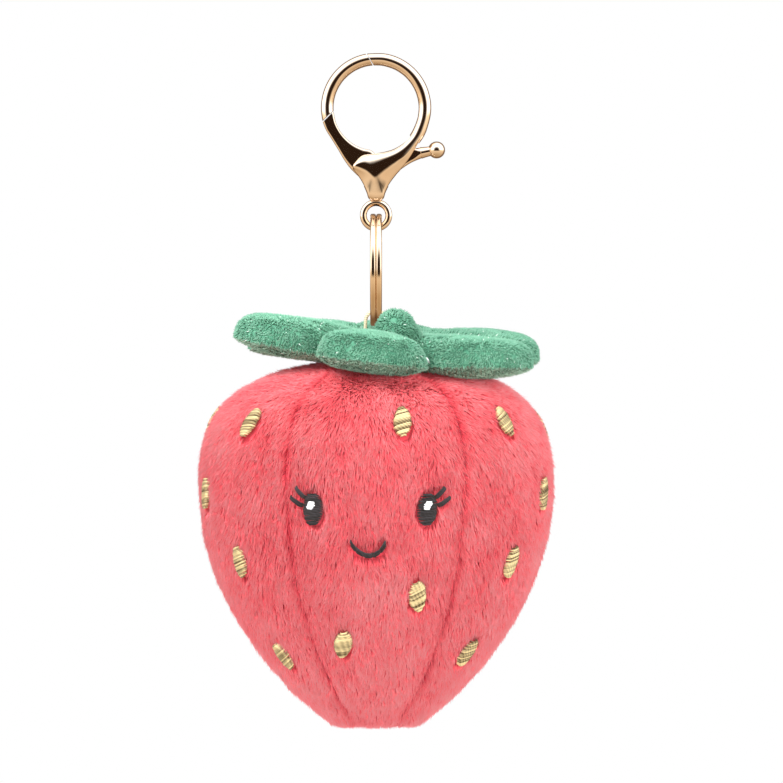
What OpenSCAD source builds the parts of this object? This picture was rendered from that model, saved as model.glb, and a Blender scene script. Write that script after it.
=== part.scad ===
// A strawberry-shaped plush charm that hangs from a lobster clasp and a split ring.
// X is to the right, +Y away from the face and Z up. The origin is the inner top of the clasp's ring.

/* [Clasp] */
// Inside radius of the clasp's ring
ring_r = 9.1; // [8:0.1:10.9]
// Thickness of the ring's round wire
wire_d = 2.7; // [2.3:0.1:3.2]
// Distance from the ring's centre down to the neck
neck_drop = 19.7; // [17.5:0.1:23.6]
// Width of the neck
neck_w = 3.4; // [3:0.1:4]
// Depth of the clasp over both cheeks
body_d = 5.0; // [4.5:0.1:6]
// Thickness of the gate lever
lever_d = 2.3; // [1.8:0.1:2.5]
// Clearance between the lever and each cheek
lever_gap = 0.1; // [0.05:0.01:0.2]
// Radius of the lever's rivet
rivet_r = 0.8; // [0.6:0.05:1]
// Running clearance between the rivet and the lever
rivet_gap = 0.05; // [0.02:0.01:0.1]
// Gap between the lever and the hook at the opening
gate_gap = 0.25; // [0.15:0.05:0.4]
// Radius of the ball knob
knob_r = 1.8; // [1.4:0.1:2.1]
// Radius of the spigot that holds the hook's tip
spigot_r = 0.6; // [0.4:0.05:0.8]
// Thickness of the leaf spring
leaf_t = 0.25; // [0.15:0.05:0.35]
// Width of the leaf spring
leaf_w = 1.6; // [1:0.1:2]

/* [Eye and split ring] */
// Inside radius of the clasp's eye
eye_r = 2.0; // [1.9:0.05:2.4]
// Thickness of the eye's wire
eye_wire = 1.45; // [1.2:0.05:1.6]
// Outside diameter of the split ring
split_od = 24; // [20:0.5:28.8]
// Width of one turn of the split ring
turn_w = 1.25; // [1.05:0.05:1.3]
// Radial thickness of one turn
turn_t = 2.0; // [1.7:0.1:2.2]
// Corner radius of the flat wire
turn_round = 0.45; // [0.35:0.05:0.5]
// Height of the split ring above the eye's inner wall
hang_gap = 0.35; // [0.3:0.05:0.45]

/* [Ribbon] */
// Width of the ribbon
ribbon_w = 4.5; // [3:0.1:5.4]
// Thickness of the ribbon
ribbon_t = 0.7; // [0.5:0.05:0.8]
// Clearance round the split ring's wire inside the loop
ribbon_gap = 0.5; // [0.4:0.05:0.6]

/* [Berry] */
// Largest radius of the berry
berry_r = 38.7; // [32.2:0.1:46.5]
// Height of the berry from its top to the base seam
berry_h = 79; // [65:0.5:95]
// Distance from the berry's top down to its widest place
widest_drop = 27; // [22:0.5:33]
// Radius of the base panel
base_r = 9.3; // [7.5:0.1:11.2]
// Thickness of the plush with its pile
plush_t = 2.0; // [1.5:0.1:2.5]
// Width of the thread line between two side panels
seam_w = 0.3; // [0.2:0.05:0.5]
// Distance that the base panel's flat stands below the base seam
base_flat = 0.4; // [0.3:0.1:0.8]

/* [Calyx and stem] */
// Distance from the centre to the tip of a lobe
lobe_r = 36; // [30:0.5:43.2]
// Radius of a lobe's rounded tip
tip_r = 9; // [7:0.5:10]
// Distance from the centre to the notch between two lobes
notch_r = 24; // [21:0.5:26]
// Thickness of the padded calyx
calyx_t = 6; // [5:0.1:7.2]
// Thickness of the calyx's fabric, top and underside
calyx_fabric = 1.6; // [1.2:0.1:2]
// Radius of the hole where the ribbon goes in
hole_r = 5; // [4.6:0.1:6]
// Height of the split ring above the calyx
ring_clear = 1.0; // [0.8:0.1:1.5]
// How far the calyx leans down at the front, in degrees
calyx_pitch = 6; // [4:0.5:7]
// How far the calyx's star sits to the right of the hole's middle
calyx_shift = 2; // [1:0.1:2.4]
// How far the calyx leans down at the right, in degrees
calyx_roll = 3.5; // [0:0.5:4]
// Radius of the stuffed stem
stem_r = 4.6; // [3.8:0.1:4.8]
// Thickness of the stem's cover
stem_cover_t = 1.0; // [0.7:0.1:1.4]

/* [Embroidery] */
// Length of a seed
seed_l = 6.8; // [5.5:0.1:8.2]
// Width of a seed
seed_w = 4.0; // [3.3:0.1:4.8]
// Thickness of the stitched thread
thread_t = 0.8; // [0.5:0.1:1.2]
// Height of an eye
eye_h = 6.6; // [5.5:0.1:7.9]
// Width of an eye
eye_w = 4.4; // [3.8:0.1:5.2]
// Distance of the eyes below the berry's top
eye_drop = 31.4; // [28:0.1:34]
// Distance of the mouth's corners below the berry's top
mouth_drop = 38.1; // [37:0.1:44]

/* [Hidden] */
$fn = 48;
MERGE = 0.01;
BIG = 60;
GORES = ["front", "front_right", "back_right", "back", "back_left", "front_left"];
// Each seed: azimuth from the front in degrees, distance below the berry's top, and lean in degrees
SEEDS = [
    [-47, 13.4, 12], [9, 13.1, 0], [49, 13.0, -10], [-69, 28.5, 10], [67, 28.5, 0], [-52, 42.8, 0],
    [52, 42.7, 0], [15, 49.4, -14], [-14, 59.7, 11], [-49, 62.8, -10], [47, 62.0, 0], [102, 14, 6],
    [154, 13, -8], [-154, 14, 8], [-101, 13, 0], [126, 29, -8], [-128, 28, 6], [178, 30, 4],
    [106, 45, 8], [-108, 44, -6], [160, 47, -6], [-160, 60, 8], [118, 62, 4]
];
EYE_AZIMUTHS = [-19.8, 16.3];
GLINT_AT = [-0.1, 0.8];
glint_r = 0.85;

// Clasp
ring_c = [0, -ring_r];
wire_r = wire_d / 2;
ring_out = ring_r + wire_d;
ring_mid = ring_r + wire_r;
neck_z = -ring_r - neck_drop;
slot_d = lever_d + 2 * lever_gap;
pivot = [-1.2, neck_z + 5.4];
slot_floor = neck_z + 2.0;
hub_r = 2.3;
arc_end = -38;
TOP_AZIMUTH = 97;
GATE_AZIMUTH = 189.5;
top_seam = ring_c + ring_mid * [cos(TOP_AZIMUTH), sin(TOP_AZIMUTH)];
top_seam_lean = 120;
gate_seam = ring_c + ring_mid * [cos(GATE_AZIMUTH), sin(GATE_AZIMUTH)];
gate_seam_lean = 43.7;
knob_at = [ring_out + 1.15, -ring_r - 9.0];
arm_root = [knob_at[0] - 4.45, knob_at[1] - 1.5];
rivet_skin = 0.4;
eye_mid = eye_r + eye_wire / 2;
eye_z = neck_z - 3.3;

// Split ring and ribbon
split_r = split_od / 2;
split_z = eye_z - eye_r + hang_gap - (split_r - turn_t);
split_bottom = split_z - split_r;
ribbon_z = split_bottom + turn_t / 2;
// The wire is wider at its flanks than where the ribbon bends over it
ribbon_in = turn_w + ribbon_gap + 0.15;
ribbon_out = ribbon_in + ribbon_t;
ribbon_foot = 0.4;
ribbon_bottom = split_bottom - 4.4;

// Berry
calyx_top_z = split_bottom - ring_clear;
calyx_z = calyx_top_z - calyx_t / 2;
STAR_TURN = 24;
berry_top = calyx_top_z - calyx_t;
widest_z = berry_top - widest_drop;
base_z = berry_top - berry_h;
low_h = berry_h - widest_drop;
tail_top = ribbon_bottom - 1.4;
tail_h = 5;
TOP = [
    [0, berry_top],
    [0.917 * berry_r, berry_top],
    [berry_r, berry_top - 0.53 * widest_drop],
    [berry_r, widest_z]
];
LOW = [
    [berry_r, widest_z],
    [berry_r, widest_z - 0.404 * low_h],
    [0.672 * berry_r, widest_z - 0.77 * low_h],
    [base_r, base_z]
];
STEPS = 9;

// The point at t, from 0 to 1, of a cubic curve from p[0] to p[3] that is drawn towards p[1] and p[2]
function curve(p, t) =
    pow(1 - t, 3) * p[0] + 3 * pow(1 - t, 2) * t * p[1] + 3 * (1 - t) * t * t * p[2] + pow(t, 3) * p[3];
function unit(v) = v / norm(v);
function outward(v) = unit([-v[1], v[0]]);
function normal(p, t) = outward(curve(p, min(t + 0.01, 1)) - curve(p, max(t - 0.01, 0)));
// The berry's outline, moved inwards by d, from the top centre to the base seam
function outline(d) = [
    for (i = [0:STEPS]) curve(TOP, i / STEPS) + d * (i == 0 ? [0, -1] : -normal(TOP, i / STEPS)),
    for (i = [1:STEPS]) curve(LOW, i / STEPS) - d * normal(LOW, i / STEPS)
];
function turned(list) = [for (i = [len(list) - 1:-1:0]) list[i]];
OUTER = outline(0);
INNER = outline(plush_t);
RADII = [for (i = [len(OUTER) - 1:-1:0]) [OUTER[i][1], OUTER[i][0]]];
function radius_at(z) = lookup(z, RADII);
function slope_at(z) = atan((radius_at(z - 1.5) - radius_at(z + 1.5)) / 3);

// Stands a flat shape up, so that its second axis points up
module upright(depth) {
    rotate([90, 0, 0]) linear_extrude(depth, center = true) children();
}

// Everything to the left of a line through a point
module left_of(point, lean, gap = 0) {
    translate(point) rotate(lean) translate([-BIG / 2, gap]) square([BIG, BIG]);
}

// A stretch of the clasp's round ring
module ring_arc(from, to) {
    translate([0, 0, ring_c[1]]) rotate([90, 0, 0]) rotate(from)
        rotate_extrude(angle = to - from) translate([ring_mid, 0]) circle(wire_r);
}

// Where a straight line from a corner touches the ring's outside; side is 1 or -1
function tangent_at(corner, side) =
    let (v = corner - ring_c, a = atan2(v[1], v[0]), b = acos(ring_out / norm(v)))
    ring_c + ring_out * [cos(a + side * b), sin(a + side * b)];

// The clasp's outline: a drop that tapers to the neck, with the ring's opening cut out
module drop_shape() {
    left = [-neck_w / 2, neck_z];
    right = [neck_w / 2, neck_z];
    foot = [neck_w / 2 - 0.2, neck_z - 1];
    right_side = tangent_at(right, 1);
    bulge = [0.9, -0.6];
    shoulder = (right + right_side) / 2 + bulge;
    difference() {
        union() {
            translate(ring_c) circle(ring_out);
            polygon([
                ring_c, tangent_at(left, -1), left, [-foot[0], foot[1]], foot, right, shoulder, right_side
            ]);
        }
        translate(ring_c) circle(ring_r);
    }
}

// The clasp's outline seen from the side: full depth at the cheeks, slim at the ring and the neck
module side_shape() {
    half = body_d / 2;
    top = ring_c[1] - 3.5;
    high = top - 5.5;
    low = neck_z + 5;
    foot = neck_z - 1;
    polygon([
        [-wire_r, top], [-half, high], [-half, low], [-wire_r, neck_z], [-wire_r, foot],
        [wire_r, foot], [wire_r, neck_z], [half, low], [half, high], [wire_r, top]
    ]);
}

module cheeks() {
    nose = ring_c + [-3.0, -11.5];
    nose_r = 2.3;
    foot = neck_z - 2;
    intersection() {
        upright(2 * body_d) intersection() {
            drop_shape();
            union() {
                translate([nose[0], foot]) square([BIG, ring_c[1] - 3.5 - foot]);
                translate(nose) circle(nose_r);
                translate([-BIG / 2, foot]) square([BIG, nose[1] - 1.1 - foot]);
            }
        }
        rotate([90, 0, 90]) linear_extrude(BIG, center = true) side_shape();
    }
}

// The space between the cheeks, open at the left, the top and the lower right
module slot_shape() {
    difference() {
        translate([-BIG / 2, slot_floor]) square([BIG, ring_c[1] - slot_floor]);
        translate(ring_c) rotate(arc_end) square([BIG, BIG]);
    }
}

module clasp_body() {
    color("goldenrod") {
        difference() {
            union() {
                difference() {
                    cheeks();
                    upright(slot_d) slot_shape();
                }
                difference() {
                    ring_arc(arc_end, 102);
                    upright(BIG) left_of(top_seam, top_seam_lean);
                }
            }
            spigot(2.1);
            rivet_shape();
        }
        translate([0, 0, eye_z]) rotate([90, 0, 0]) rotate_extrude() translate([eye_mid, 0]) circle(eye_wire / 2);
    }
}

// A short pin along the ring at the top seam, which starts inside the hook tip
module spigot(length) {
    root = 0.8;
    translate([top_seam[0], 0, top_seam[1]]) rotate([0, 180 - TOP_AZIMUTH, 0]) translate([0, 0, -root])
        cylinder(r = spigot_r, h = length + root);
}

module hook_tip() {
    color("goldenrod") {
        intersection() {
            ring_arc(92, 205);
            upright(BIG) left_of(top_seam, top_seam_lean);
            upright(BIG) left_of(gate_seam, gate_seam_lean, gate_gap / 2);
        }
        spigot(2.0);
    }
}

// The lever seen from the front: the clasp's left side up to the gate seam, the hub and the knob's arm
module lever_shape() {
    left_of_ring = -14;
    intersection() {
        drop_shape();
        polygon([
            ring_c + [left_of_ring, 1], ring_c + [-6.9, 1], ring_c + [-1.6, -8.5],
            pivot + [1.8, 3.0], pivot + [1.4, -1.2], pivot + [0, -hub_r],
            ring_c + [-6.6, -13.3], ring_c + [left_of_ring, -8]
        ]);
        translate(gate_seam) rotate(gate_seam_lean) translate([-BIG / 2, -BIG - gate_gap / 2]) square([BIG, BIG]);
    }
    translate(pivot) circle(hub_r);
    polygon([pivot + [0, -hub_r], arm_root + [0.6, -0.9], arm_root + [0.3, 0.9], pivot + [0.4, 2.9]]);
}

module gate_lever() {
    reach = knob_at - arm_root;
    color("goldenrod") difference() {
        union() {
            upright(lever_d) lever_shape();
            translate([arm_root[0], 0, arm_root[1]]) rotate([0, 90 - atan2(reach[1], reach[0]), 0])
                cylinder(r1 = 0.9, r2 = 1.1, h = norm(reach));
            translate([knob_at[0], 0, knob_at[1]]) sphere(knob_r);
        }
        translate([pivot[0], 0, pivot[1]]) rotate([90, 0, 0])
            cylinder(r = rivet_r + rivet_gap, h = body_d, center = true);
    }
}

// The rivet: blind at the front, through at the back
module rivet_shape() {
    translate([pivot[0], body_d / 2, pivot[1]]) rotate([90, 0, 0]) cylinder(r = rivet_r, h = body_d - rivet_skin);
}

module lever_rivet() {
    color("darkgoldenrod") rivet_shape();
}

// A bent leaf on the slot's floor, under the knob's arm
module lever_spring() {
    bend_r = 0.25;
    bend = [1.9, slot_floor + leaf_t + bend_r];
    foot = -1.4;
    color("gray") upright(leaf_w) {
        translate([foot, slot_floor]) square([bend[0] - foot, leaf_t]);
        difference() {
            translate(bend) circle(leaf_t + bend_r);
            translate(bend) circle(bend_r);
            translate([bend[0] - 2, bend[1] - 1]) square([2, 2]);
        }
        translate(bend) rotate(157) translate([-0.1, -bend_r - leaf_t]) square([1.6, leaf_t]);
    }
}

// One turn of flat wire with rounded corners, beside the middle plane
module turn_section(side) {
    core_w = turn_w - 2 * turn_round;
    core_t = turn_t - 2 * turn_round;
    middle = [split_r - turn_t / 2, side * turn_w / 2];
    translate(middle) {
        square([turn_t, core_w], center = true);
        square([core_t, turn_w + MERGE], center = true);
        for (x = [-1, 1]) {
            for (y = [-1, 1]) {
                translate([x * core_t / 2, y * core_w / 2]) circle(turn_round, $fn = 24);
            }
        }
    }
}

module split_ring() {
    end_gap = 3;
    color("gold") translate([0, 0, split_z]) rotate([0, 90, 0]) {
        for (side = [-1, 1]) {
            rotate(side * 12) rotate_extrude(angle = 360 - end_gap) turn_section(side);
        }
    }
}

// The closed loop of ribbon, seen from the front
module loop_shape(r, foot, bottom) {
    translate([0, ribbon_z]) circle(r);
    polygon([[-r, ribbon_z], [-r - foot, bottom], [r + foot, bottom], [r, ribbon_z]]);
}

module ribbon_loop() {
    color("wheat") upright(ribbon_w) difference() {
        loop_shape(ribbon_out, ribbon_foot, ribbon_bottom);
        loop_shape(ribbon_in, ribbon_foot, ribbon_bottom + ribbon_t);
    }
}

module loop_tail_shape() {
    translate([-ribbon_out, -ribbon_w / 2, tail_top - tail_h]) cube([2 * ribbon_out, ribbon_w, tail_h]);
}

module loop_tail() {
    color("wheat") loop_tail_shape();
}

// Places its children in the calyx's own frame, level with the middle of its thickness
module on_calyx() {
    translate([0, 0, calyx_z]) rotate([calyx_pitch, calyx_roll, 0]) children();
}

// The calyx's outline: six lobes with round tips, divided by notches
module star() {
    tip_c = lobe_r - tip_r;
    corner = 25;
    translate([calyx_shift, 0]) polygon([
        for (lobe = [0:5]) let (a = 60 * lobe + STAR_TURN) for (k = [-1:6]) let (b = a + corner * (k - 3))
            k < 0 ? notch_r * [cos(a - 30), sin(a - 30)]
                : tip_c * [cos(a), sin(a)] + tip_r * [cos(b), sin(b)]
    ]);
}

module berry_solid() {
    rotate_extrude() polygon(concat(OUTER, [[0, base_z]]));
}

module calyx_layer(low, high) {
    difference() {
        on_calyx() translate([0, 0, low]) linear_extrude(high - low) star();
        translate([0, 0, -BIG * 3]) cylinder(r = hole_r, h = BIG * 3);
        berry_solid();
    }
}

module calyx_top() {
    color("mediumaquamarine") calyx_layer(calyx_t / 2 - calyx_fabric, calyx_t / 2);
}

module calyx_wadding() {
    color("white") calyx_layer(calyx_fabric - calyx_t / 2, calyx_t / 2 - calyx_fabric);
}

module calyx_underside() {
    color("darkseagreen") calyx_layer(-calyx_t / 2, calyx_fabric - calyx_t / 2);
}

// One short stitch at each notch
module calyx_tacks() {
    color("ghostwhite") on_calyx() for (i = [0:5]) {
        translate([calyx_shift, 0, calyx_t / 2]) rotate(60 * i + STAR_TURN + 30) translate([notch_r - 2.2, 0])
            cylinder(r = 0.7, h = 0.4, $fn = 24);
    }
}

// Half of the stem's outline: a straight side of height h and a round end, both moved inwards by d
function stem_outline(h, d) = [
    [stem_r - d, 0],
    for (a = [0:15:90]) [(stem_r - d) * cos(a), h + (stem_r - d) * sin(a)]
];

// Turns an outline into a leaning stub that stands on the calyx
module stem_stub(d, shell) {
    tip = [3.5, -split_r - 0.5, split_bottom - 0.6];
    foot = [4.5, -8.5, calyx_top_z - 3];
    reach = tip - foot;
    h = norm(reach);
    turn_y = acos(reach[2] / h);
    turn_z = atan2(reach[1], reach[0]);
    inner = shell ? turned(stem_outline(h, d + stem_cover_t)) : [[0, 0]];
    difference() {
        translate(foot) rotate([0, turn_y, turn_z]) rotate_extrude() polygon(concat(stem_outline(h, d), inner));
        on_calyx() translate([-BIG, -BIG, calyx_t / 2 - BIG]) cube([2 * BIG, 2 * BIG, BIG]);
    }
}

module stem_cover() {
    color("mediumseagreen") stem_stub(0, true);
}

module stem_stuffing() {
    color("white") stem_stub(stem_cover_t, false);
}

// The plates along which the side panels are sewn, one at each seam
module seam_plates() {
    for (i = [0:5]) {
        rotate(60 * i + 60) translate([0, -seam_w / 2, base_z - 5]) cube([BIG, seam_w, berry_h + 10]);
    }
}

module ribbon_hole() {
    translate([0, 0, berry_top - plush_t - 1]) cylinder(r = hole_r, h = BIG);
}

// A side panel, whose azimuth is counted in sixths from the front, towards the right
module gore(index) {
    color("indianred") difference() {
        rotate(60 * index - 120) rotate_extrude(angle = 60) polygon(concat(OUTER, turned(INNER)));
        seam_plates();
        ribbon_hole();
    }
}

module seam_threads() {
    shell = concat(OUTER, turned(INNER));
    color("firebrick") difference() {
        for (i = [0:5]) {
            rotate(60 * i + 60) upright(seam_w) polygon(shell);
        }
        ribbon_hole();
    }
}

module base_panel() {
    inner = INNER[len(INNER) - 1];
    fit = 0.1;
    chamfer = 0.9;
    color("lightcoral") {
        translate([0, 0, base_z]) cylinder(r1 = base_r - fit, r2 = inner[0] - fit, h = inner[1] - base_z);
        translate([0, 0, base_z - base_flat]) cylinder(r1 = base_r - chamfer, r2 = base_r - fit, h = base_flat);
    }
}

module berry_stuffing() {
    inner = outline(plush_t + 0.05);
    foot = inner[len(inner) - 1];
    color("white") difference() {
        rotate_extrude() polygon(concat(inner, [[0, foot[1]]]));
        loop_tail_shape();
    }
}

// Lays a flat shape on the berry at an azimuth from the front and a distance below the top
module on_berry(azimuth, drop, lean) {
    z = berry_top - drop;
    rotate(azimuth) translate([0, -radius_at(z) - 0.1, z]) rotate([90 - slope_at(z), 0, 0]) rotate(lean)
        linear_extrude(thread_t) children();
}

// A seed: two arcs that meet in a point at each end
module seed_shape() {
    r = (seed_l * seed_l / 4 + seed_w * seed_w / 4) / seed_w;
    intersection() {
        translate([r - seed_w / 2, 0]) circle(r);
        translate([seed_w / 2 - r, 0]) circle(r);
    }
}

module seed(index) {
    place = SEEDS[index];
    color("darkkhaki") on_berry(place[0], place[1], -place[2]) seed_shape();
}

// An upright oval with straight sides
module oval(width, height) {
    square([width, height - width], center = true);
    for (side = [-1, 1]) {
        translate([0, side * (height - width) / 2]) circle(width / 2);
    }
}

module eye(side) {
    color("black") on_berry(EYE_AZIMUTHS[side], eye_drop, 0) difference() {
        oval(eye_w, eye_h);
        translate(GLINT_AT) circle(glint_r, $fn = 24);
    }
}

module glint(side) {
    color("white") on_berry(EYE_AZIMUTHS[side], eye_drop, 0) translate(GLINT_AT) circle(glint_r, $fn = 24);
}

// Two short stitches from the upper outer edge of an eye
module lashes(side) {
    out = side == 0 ? -1 : 1;
    lash_w = 0.8;
    color("black") on_berry(EYE_AZIMUTHS[side], eye_drop, 0) {
        for (k = [0, 1]) {
            translate([out * (eye_w / 2 + 0.3 + 0.1 * k), 2.4 - 1.9 * k]) rotate(90 - out * (50 + 20 * k))
                translate([0, -lash_w / 2]) square([2.9 - 0.4 * k, lash_w]);
        }
    }
}

// A smile: part of a ring
module mouth() {
    azimuth = -2.3;
    smile_r = 4.9;
    color("black") on_berry(azimuth, mouth_drop, 0) intersection() {
        translate([0, 1.2]) difference() {
            circle(smile_r);
            circle(smile_r - 1);
        }
        translate([-6, -6]) square([12, 5.6]);
    }
}

clasp_body();
hook_tip();
gate_lever();
lever_rivet();
lever_spring();
split_ring();
ribbon_loop();
loop_tail();
calyx_top();
calyx_wadding();
calyx_underside();
calyx_tacks();
stem_cover();
stem_stuffing();
for (i = [0:5]) gore(i);
base_panel();
seam_threads();
berry_stuffing();
eye(0);  // left_eye
eye(1);  // right_eye
glint(0);  // left_glint
glint(1);  // right_glint
lashes(0);  // left_lashes
lashes(1);  // right_lashes
mouth();
for (i = [0:len(SEEDS) - 1]) seed(i);
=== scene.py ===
"""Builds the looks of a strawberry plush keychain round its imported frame.

Lengths are in millimetres until a mesh is made, X to the right, Y away from the face and Z up.
The origin is the inner top of the clasp's ring, where the charm hangs.
"""

import logging
import math
from dataclasses import dataclass, field
from enum import Enum
from typing import Callable

import bpy
import numpy as np
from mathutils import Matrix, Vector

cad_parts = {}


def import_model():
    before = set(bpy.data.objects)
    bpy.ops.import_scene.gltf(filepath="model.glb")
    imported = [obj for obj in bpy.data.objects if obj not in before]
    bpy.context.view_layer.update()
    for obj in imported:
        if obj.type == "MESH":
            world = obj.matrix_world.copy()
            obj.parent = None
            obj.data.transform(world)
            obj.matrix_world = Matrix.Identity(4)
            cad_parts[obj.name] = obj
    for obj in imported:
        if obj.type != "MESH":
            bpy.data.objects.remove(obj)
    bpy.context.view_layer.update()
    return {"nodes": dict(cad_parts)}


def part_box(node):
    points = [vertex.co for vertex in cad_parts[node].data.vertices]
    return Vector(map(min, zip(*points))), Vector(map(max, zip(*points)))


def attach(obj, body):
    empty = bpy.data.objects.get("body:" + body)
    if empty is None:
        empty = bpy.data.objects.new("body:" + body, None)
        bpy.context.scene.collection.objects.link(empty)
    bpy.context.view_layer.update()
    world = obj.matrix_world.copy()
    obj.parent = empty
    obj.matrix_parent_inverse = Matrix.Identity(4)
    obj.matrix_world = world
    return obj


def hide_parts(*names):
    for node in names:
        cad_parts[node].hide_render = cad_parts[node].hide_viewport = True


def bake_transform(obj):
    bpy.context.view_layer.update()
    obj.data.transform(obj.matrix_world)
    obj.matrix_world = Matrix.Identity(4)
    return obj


Array = np.ndarray
MM = 0.001
TAU = 2 * math.pi
LOG = logging.getLogger("keychain")
WAVE_SCALE = 314  # a wave texture's Scale for bands 1 mm apart, 2 pi / 20 / 0.001
NOISE_SCALE = 1000  # a noise texture's Scale for grains 1 mm apart


# ---------------------------------------------------------------- surfaces


def corners_of(node: str) -> tuple[Array, Array]:
    """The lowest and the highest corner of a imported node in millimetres, to a hundredth."""
    low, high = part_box(node)
    return np.round(np.array(low) / MM, 2), np.round(np.array(high) / MM, 2)


@dataclass
class Patch:
    """Vertices, faces and one number per vertex for each named attribute."""

    points: Array
    faces: list[Array]
    values: dict[str, Array] = field(default_factory=dict)

    def facing_out(self) -> "Patch":
        """Turns the faces round if the enclosed volume, the sum of p0.(p1 x p2) over them, is negative."""
        volume = 0.0
        for face in self.faces:
            for k in range(1, face.shape[1] - 1):
                a, b, c = (self.points[face[:, n]] for n in (0, k, k + 1))
                volume += float(np.einsum("ij,ij->", a, np.cross(b, c)))
        if volume < 0:
            self.faces = [face[:, ::-1] for face in self.faces]
        return self


def merge(*patches: Patch) -> Patch:
    """Puts patches into one, each with its faces as they are.

    Args:
        patches: The patches; an attribute that one of them lacks is 0 there.

    Returns:
        One patch.
    """
    starts = np.cumsum([0] + [len(p.points) for p in patches])
    faces = [face + start for p, start in zip(patches, starts) for face in p.faces]
    names = {name for p in patches for name in p.values}
    values = {
        name: np.concatenate([p.values.get(name, np.zeros(len(p.points))) for p in patches]) for name in names
    }
    return Patch(np.concatenate([p.points for p in patches]), faces, values)


def lattice(points: Array, ring_rows: bool = False, values: dict[str, Array] | None = None) -> Patch:
    """Closes one or more grids of points into tubes, each with its columns joined into rings.

    Args:
        points: Shape (rows, columns, 3), or (copies, rows, columns, 3).
        ring_rows: True joins the last row to the first; otherwise a fan closes each end.
        values: Attributes in the shape of points without its last axis.

    Returns:
        The closed surface, facing out.
    """
    grid = points if points.ndim == 4 else points[None]
    copies, rows, cols = grid.shape[:3]
    index = np.arange(copies * rows * cols).reshape(copies, rows, cols)
    flat = grid.reshape(-1, 3)
    numbers = {name: np.asarray(v, float).reshape(-1) for name, v in (values or {}).items()}
    wide = np.concatenate([index, index[:, :, :1]], axis=2)
    if ring_rows:
        wide = np.concatenate([wide, wide[:, :1]], axis=1)
    quads = np.stack([wide[:, :-1, :-1], wide[:, 1:, :-1], wide[:, 1:, 1:], wide[:, :-1, 1:]], axis=-1)
    faces = [quads.reshape(-1, 4)]
    if not ring_rows:
        poles = len(flat) + np.arange(2 * copies).reshape(2, copies, 1)
        flat = np.concatenate([flat, grid[:, 0].mean(axis=1), grid[:, -1].mean(axis=1)])
        for name, v in numbers.items():
            ends = v.reshape(copies, rows, cols)
            numbers[name] = np.concatenate([v, ends[:, 0].mean(axis=1), ends[:, -1].mean(axis=1)])
        for row, pole, order in ((0, poles[0], 1), (-1, poles[1], -1)):
            ring = wide[:, row]
            fan = np.stack([ring[:, :-1], ring[:, 1:], np.broadcast_to(pole, ring[:, 1:].shape)][::order], axis=-1)
            faces.append(fan.reshape(-1, 3))
    return Patch(flat, faces, numbers).facing_out()


def shell(outer: Array, inner: Array, values: dict[str, Array] | None = None) -> Patch:
    """Closes two open grids of the same shape into a thin solid, with strips round their borders.

    Args:
        outer: Shape (rows, columns, 3).
        inner: The other side, in the same order.
        values: Attributes of the outer grid, which the inner one repeats.

    Returns:
        The closed surface, facing out.
    """
    rows, cols = outer.shape[:2]
    a = np.arange(rows * cols).reshape(rows, cols)
    quads = np.stack([a[:-1, :-1], a[1:, :-1], a[1:, 1:], a[:-1, 1:]], axis=-1).reshape(-1, 4)
    rim = np.concatenate([a[0, :-1], a[:-1, -1], a[-1, :0:-1], a[:0:-1, 0], a[:1, 0]])
    back = rows * cols
    strip = np.stack([rim[:-1], rim[1:], rim[1:] + back, rim[:-1] + back], axis=-1)
    numbers = {name: np.tile(np.asarray(v, float).reshape(-1), 2) for name, v in (values or {}).items()}
    points = np.concatenate([outer.reshape(-1, 3), inner.reshape(-1, 3)])
    return Patch(points, [quads, quads[:, ::-1] + back, strip], numbers).facing_out()


def unit(v: Array) -> Array:
    """Scales vectors to length 1."""
    return v / np.maximum(np.linalg.norm(v, axis=-1, keepdims=True), 1e-12)


def sweep(path: Array, side: Array, section: Array) -> Array:
    """Carries a flat section along a path: point = path + side * section_x + up * section_y, up = tangent x side.

    Args:
        path: Shape (..., n, 3).
        side: The section's first axis, broadcast to path's shape.
        section: Shape (..., n, m, 2) or (m, 2).

    Returns:
        A grid of shape (..., n, m, 3).
    """
    tangent = unit(np.gradient(path, axis=-2))
    across = np.broadcast_to(side, path.shape)
    across = unit(across - tangent * np.sum(across * tangent, axis=-1, keepdims=True))
    up = np.cross(tangent, across)
    return path[..., None, :] + across[..., None, :] * section[..., :1] + up[..., None, :] * section[..., 1:]


def circle(count: int) -> Array:
    """Points of a unit circle, (cos a, sin a), shape (count, 2)."""
    angle = np.linspace(0, TAU, count, endpoint=False)
    return np.stack([np.cos(angle), np.sin(angle)], axis=-1)


def rounded_bar(width: float, height: float, radius: float, per_corner: int = 5) -> Array:
    """A rectangle whose corners are quarter circles: corner centre + radius * (cos a, sin a)."""
    angle = np.linspace(0, math.pi / 2, per_corner)[None] + np.arange(4)[:, None] * math.pi / 2
    centre = np.array([[1, 1], [-1, 1], [-1, -1], [1, -1]]) * (np.array([width, height]) / 2 - radius)
    return (centre[:, None] + radius * np.stack([np.cos(angle), np.sin(angle)], axis=-1)).reshape(-1, 2)


def between(knots: Array, at: Array) -> Array:
    """The Catmull-Rom curve through knots, along their first axis, at fractional knot numbers."""
    last = len(knots) - 1
    i = np.clip(np.floor(at).astype(int), 0, last - 1)
    t = (at - i).reshape((-1,) + (1,) * (knots.ndim - 1))
    p0, p1, p2, p3 = (knots[np.clip(i + k, 0, last)] for k in (-1, 0, 1, 2))
    return p1 + 0.5 * t * (p2 - p0 + t * (2 * p0 - 5 * p1 + 4 * p2 - p3 + t * (3 * (p1 - p2) + p3 - p0)))


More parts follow.
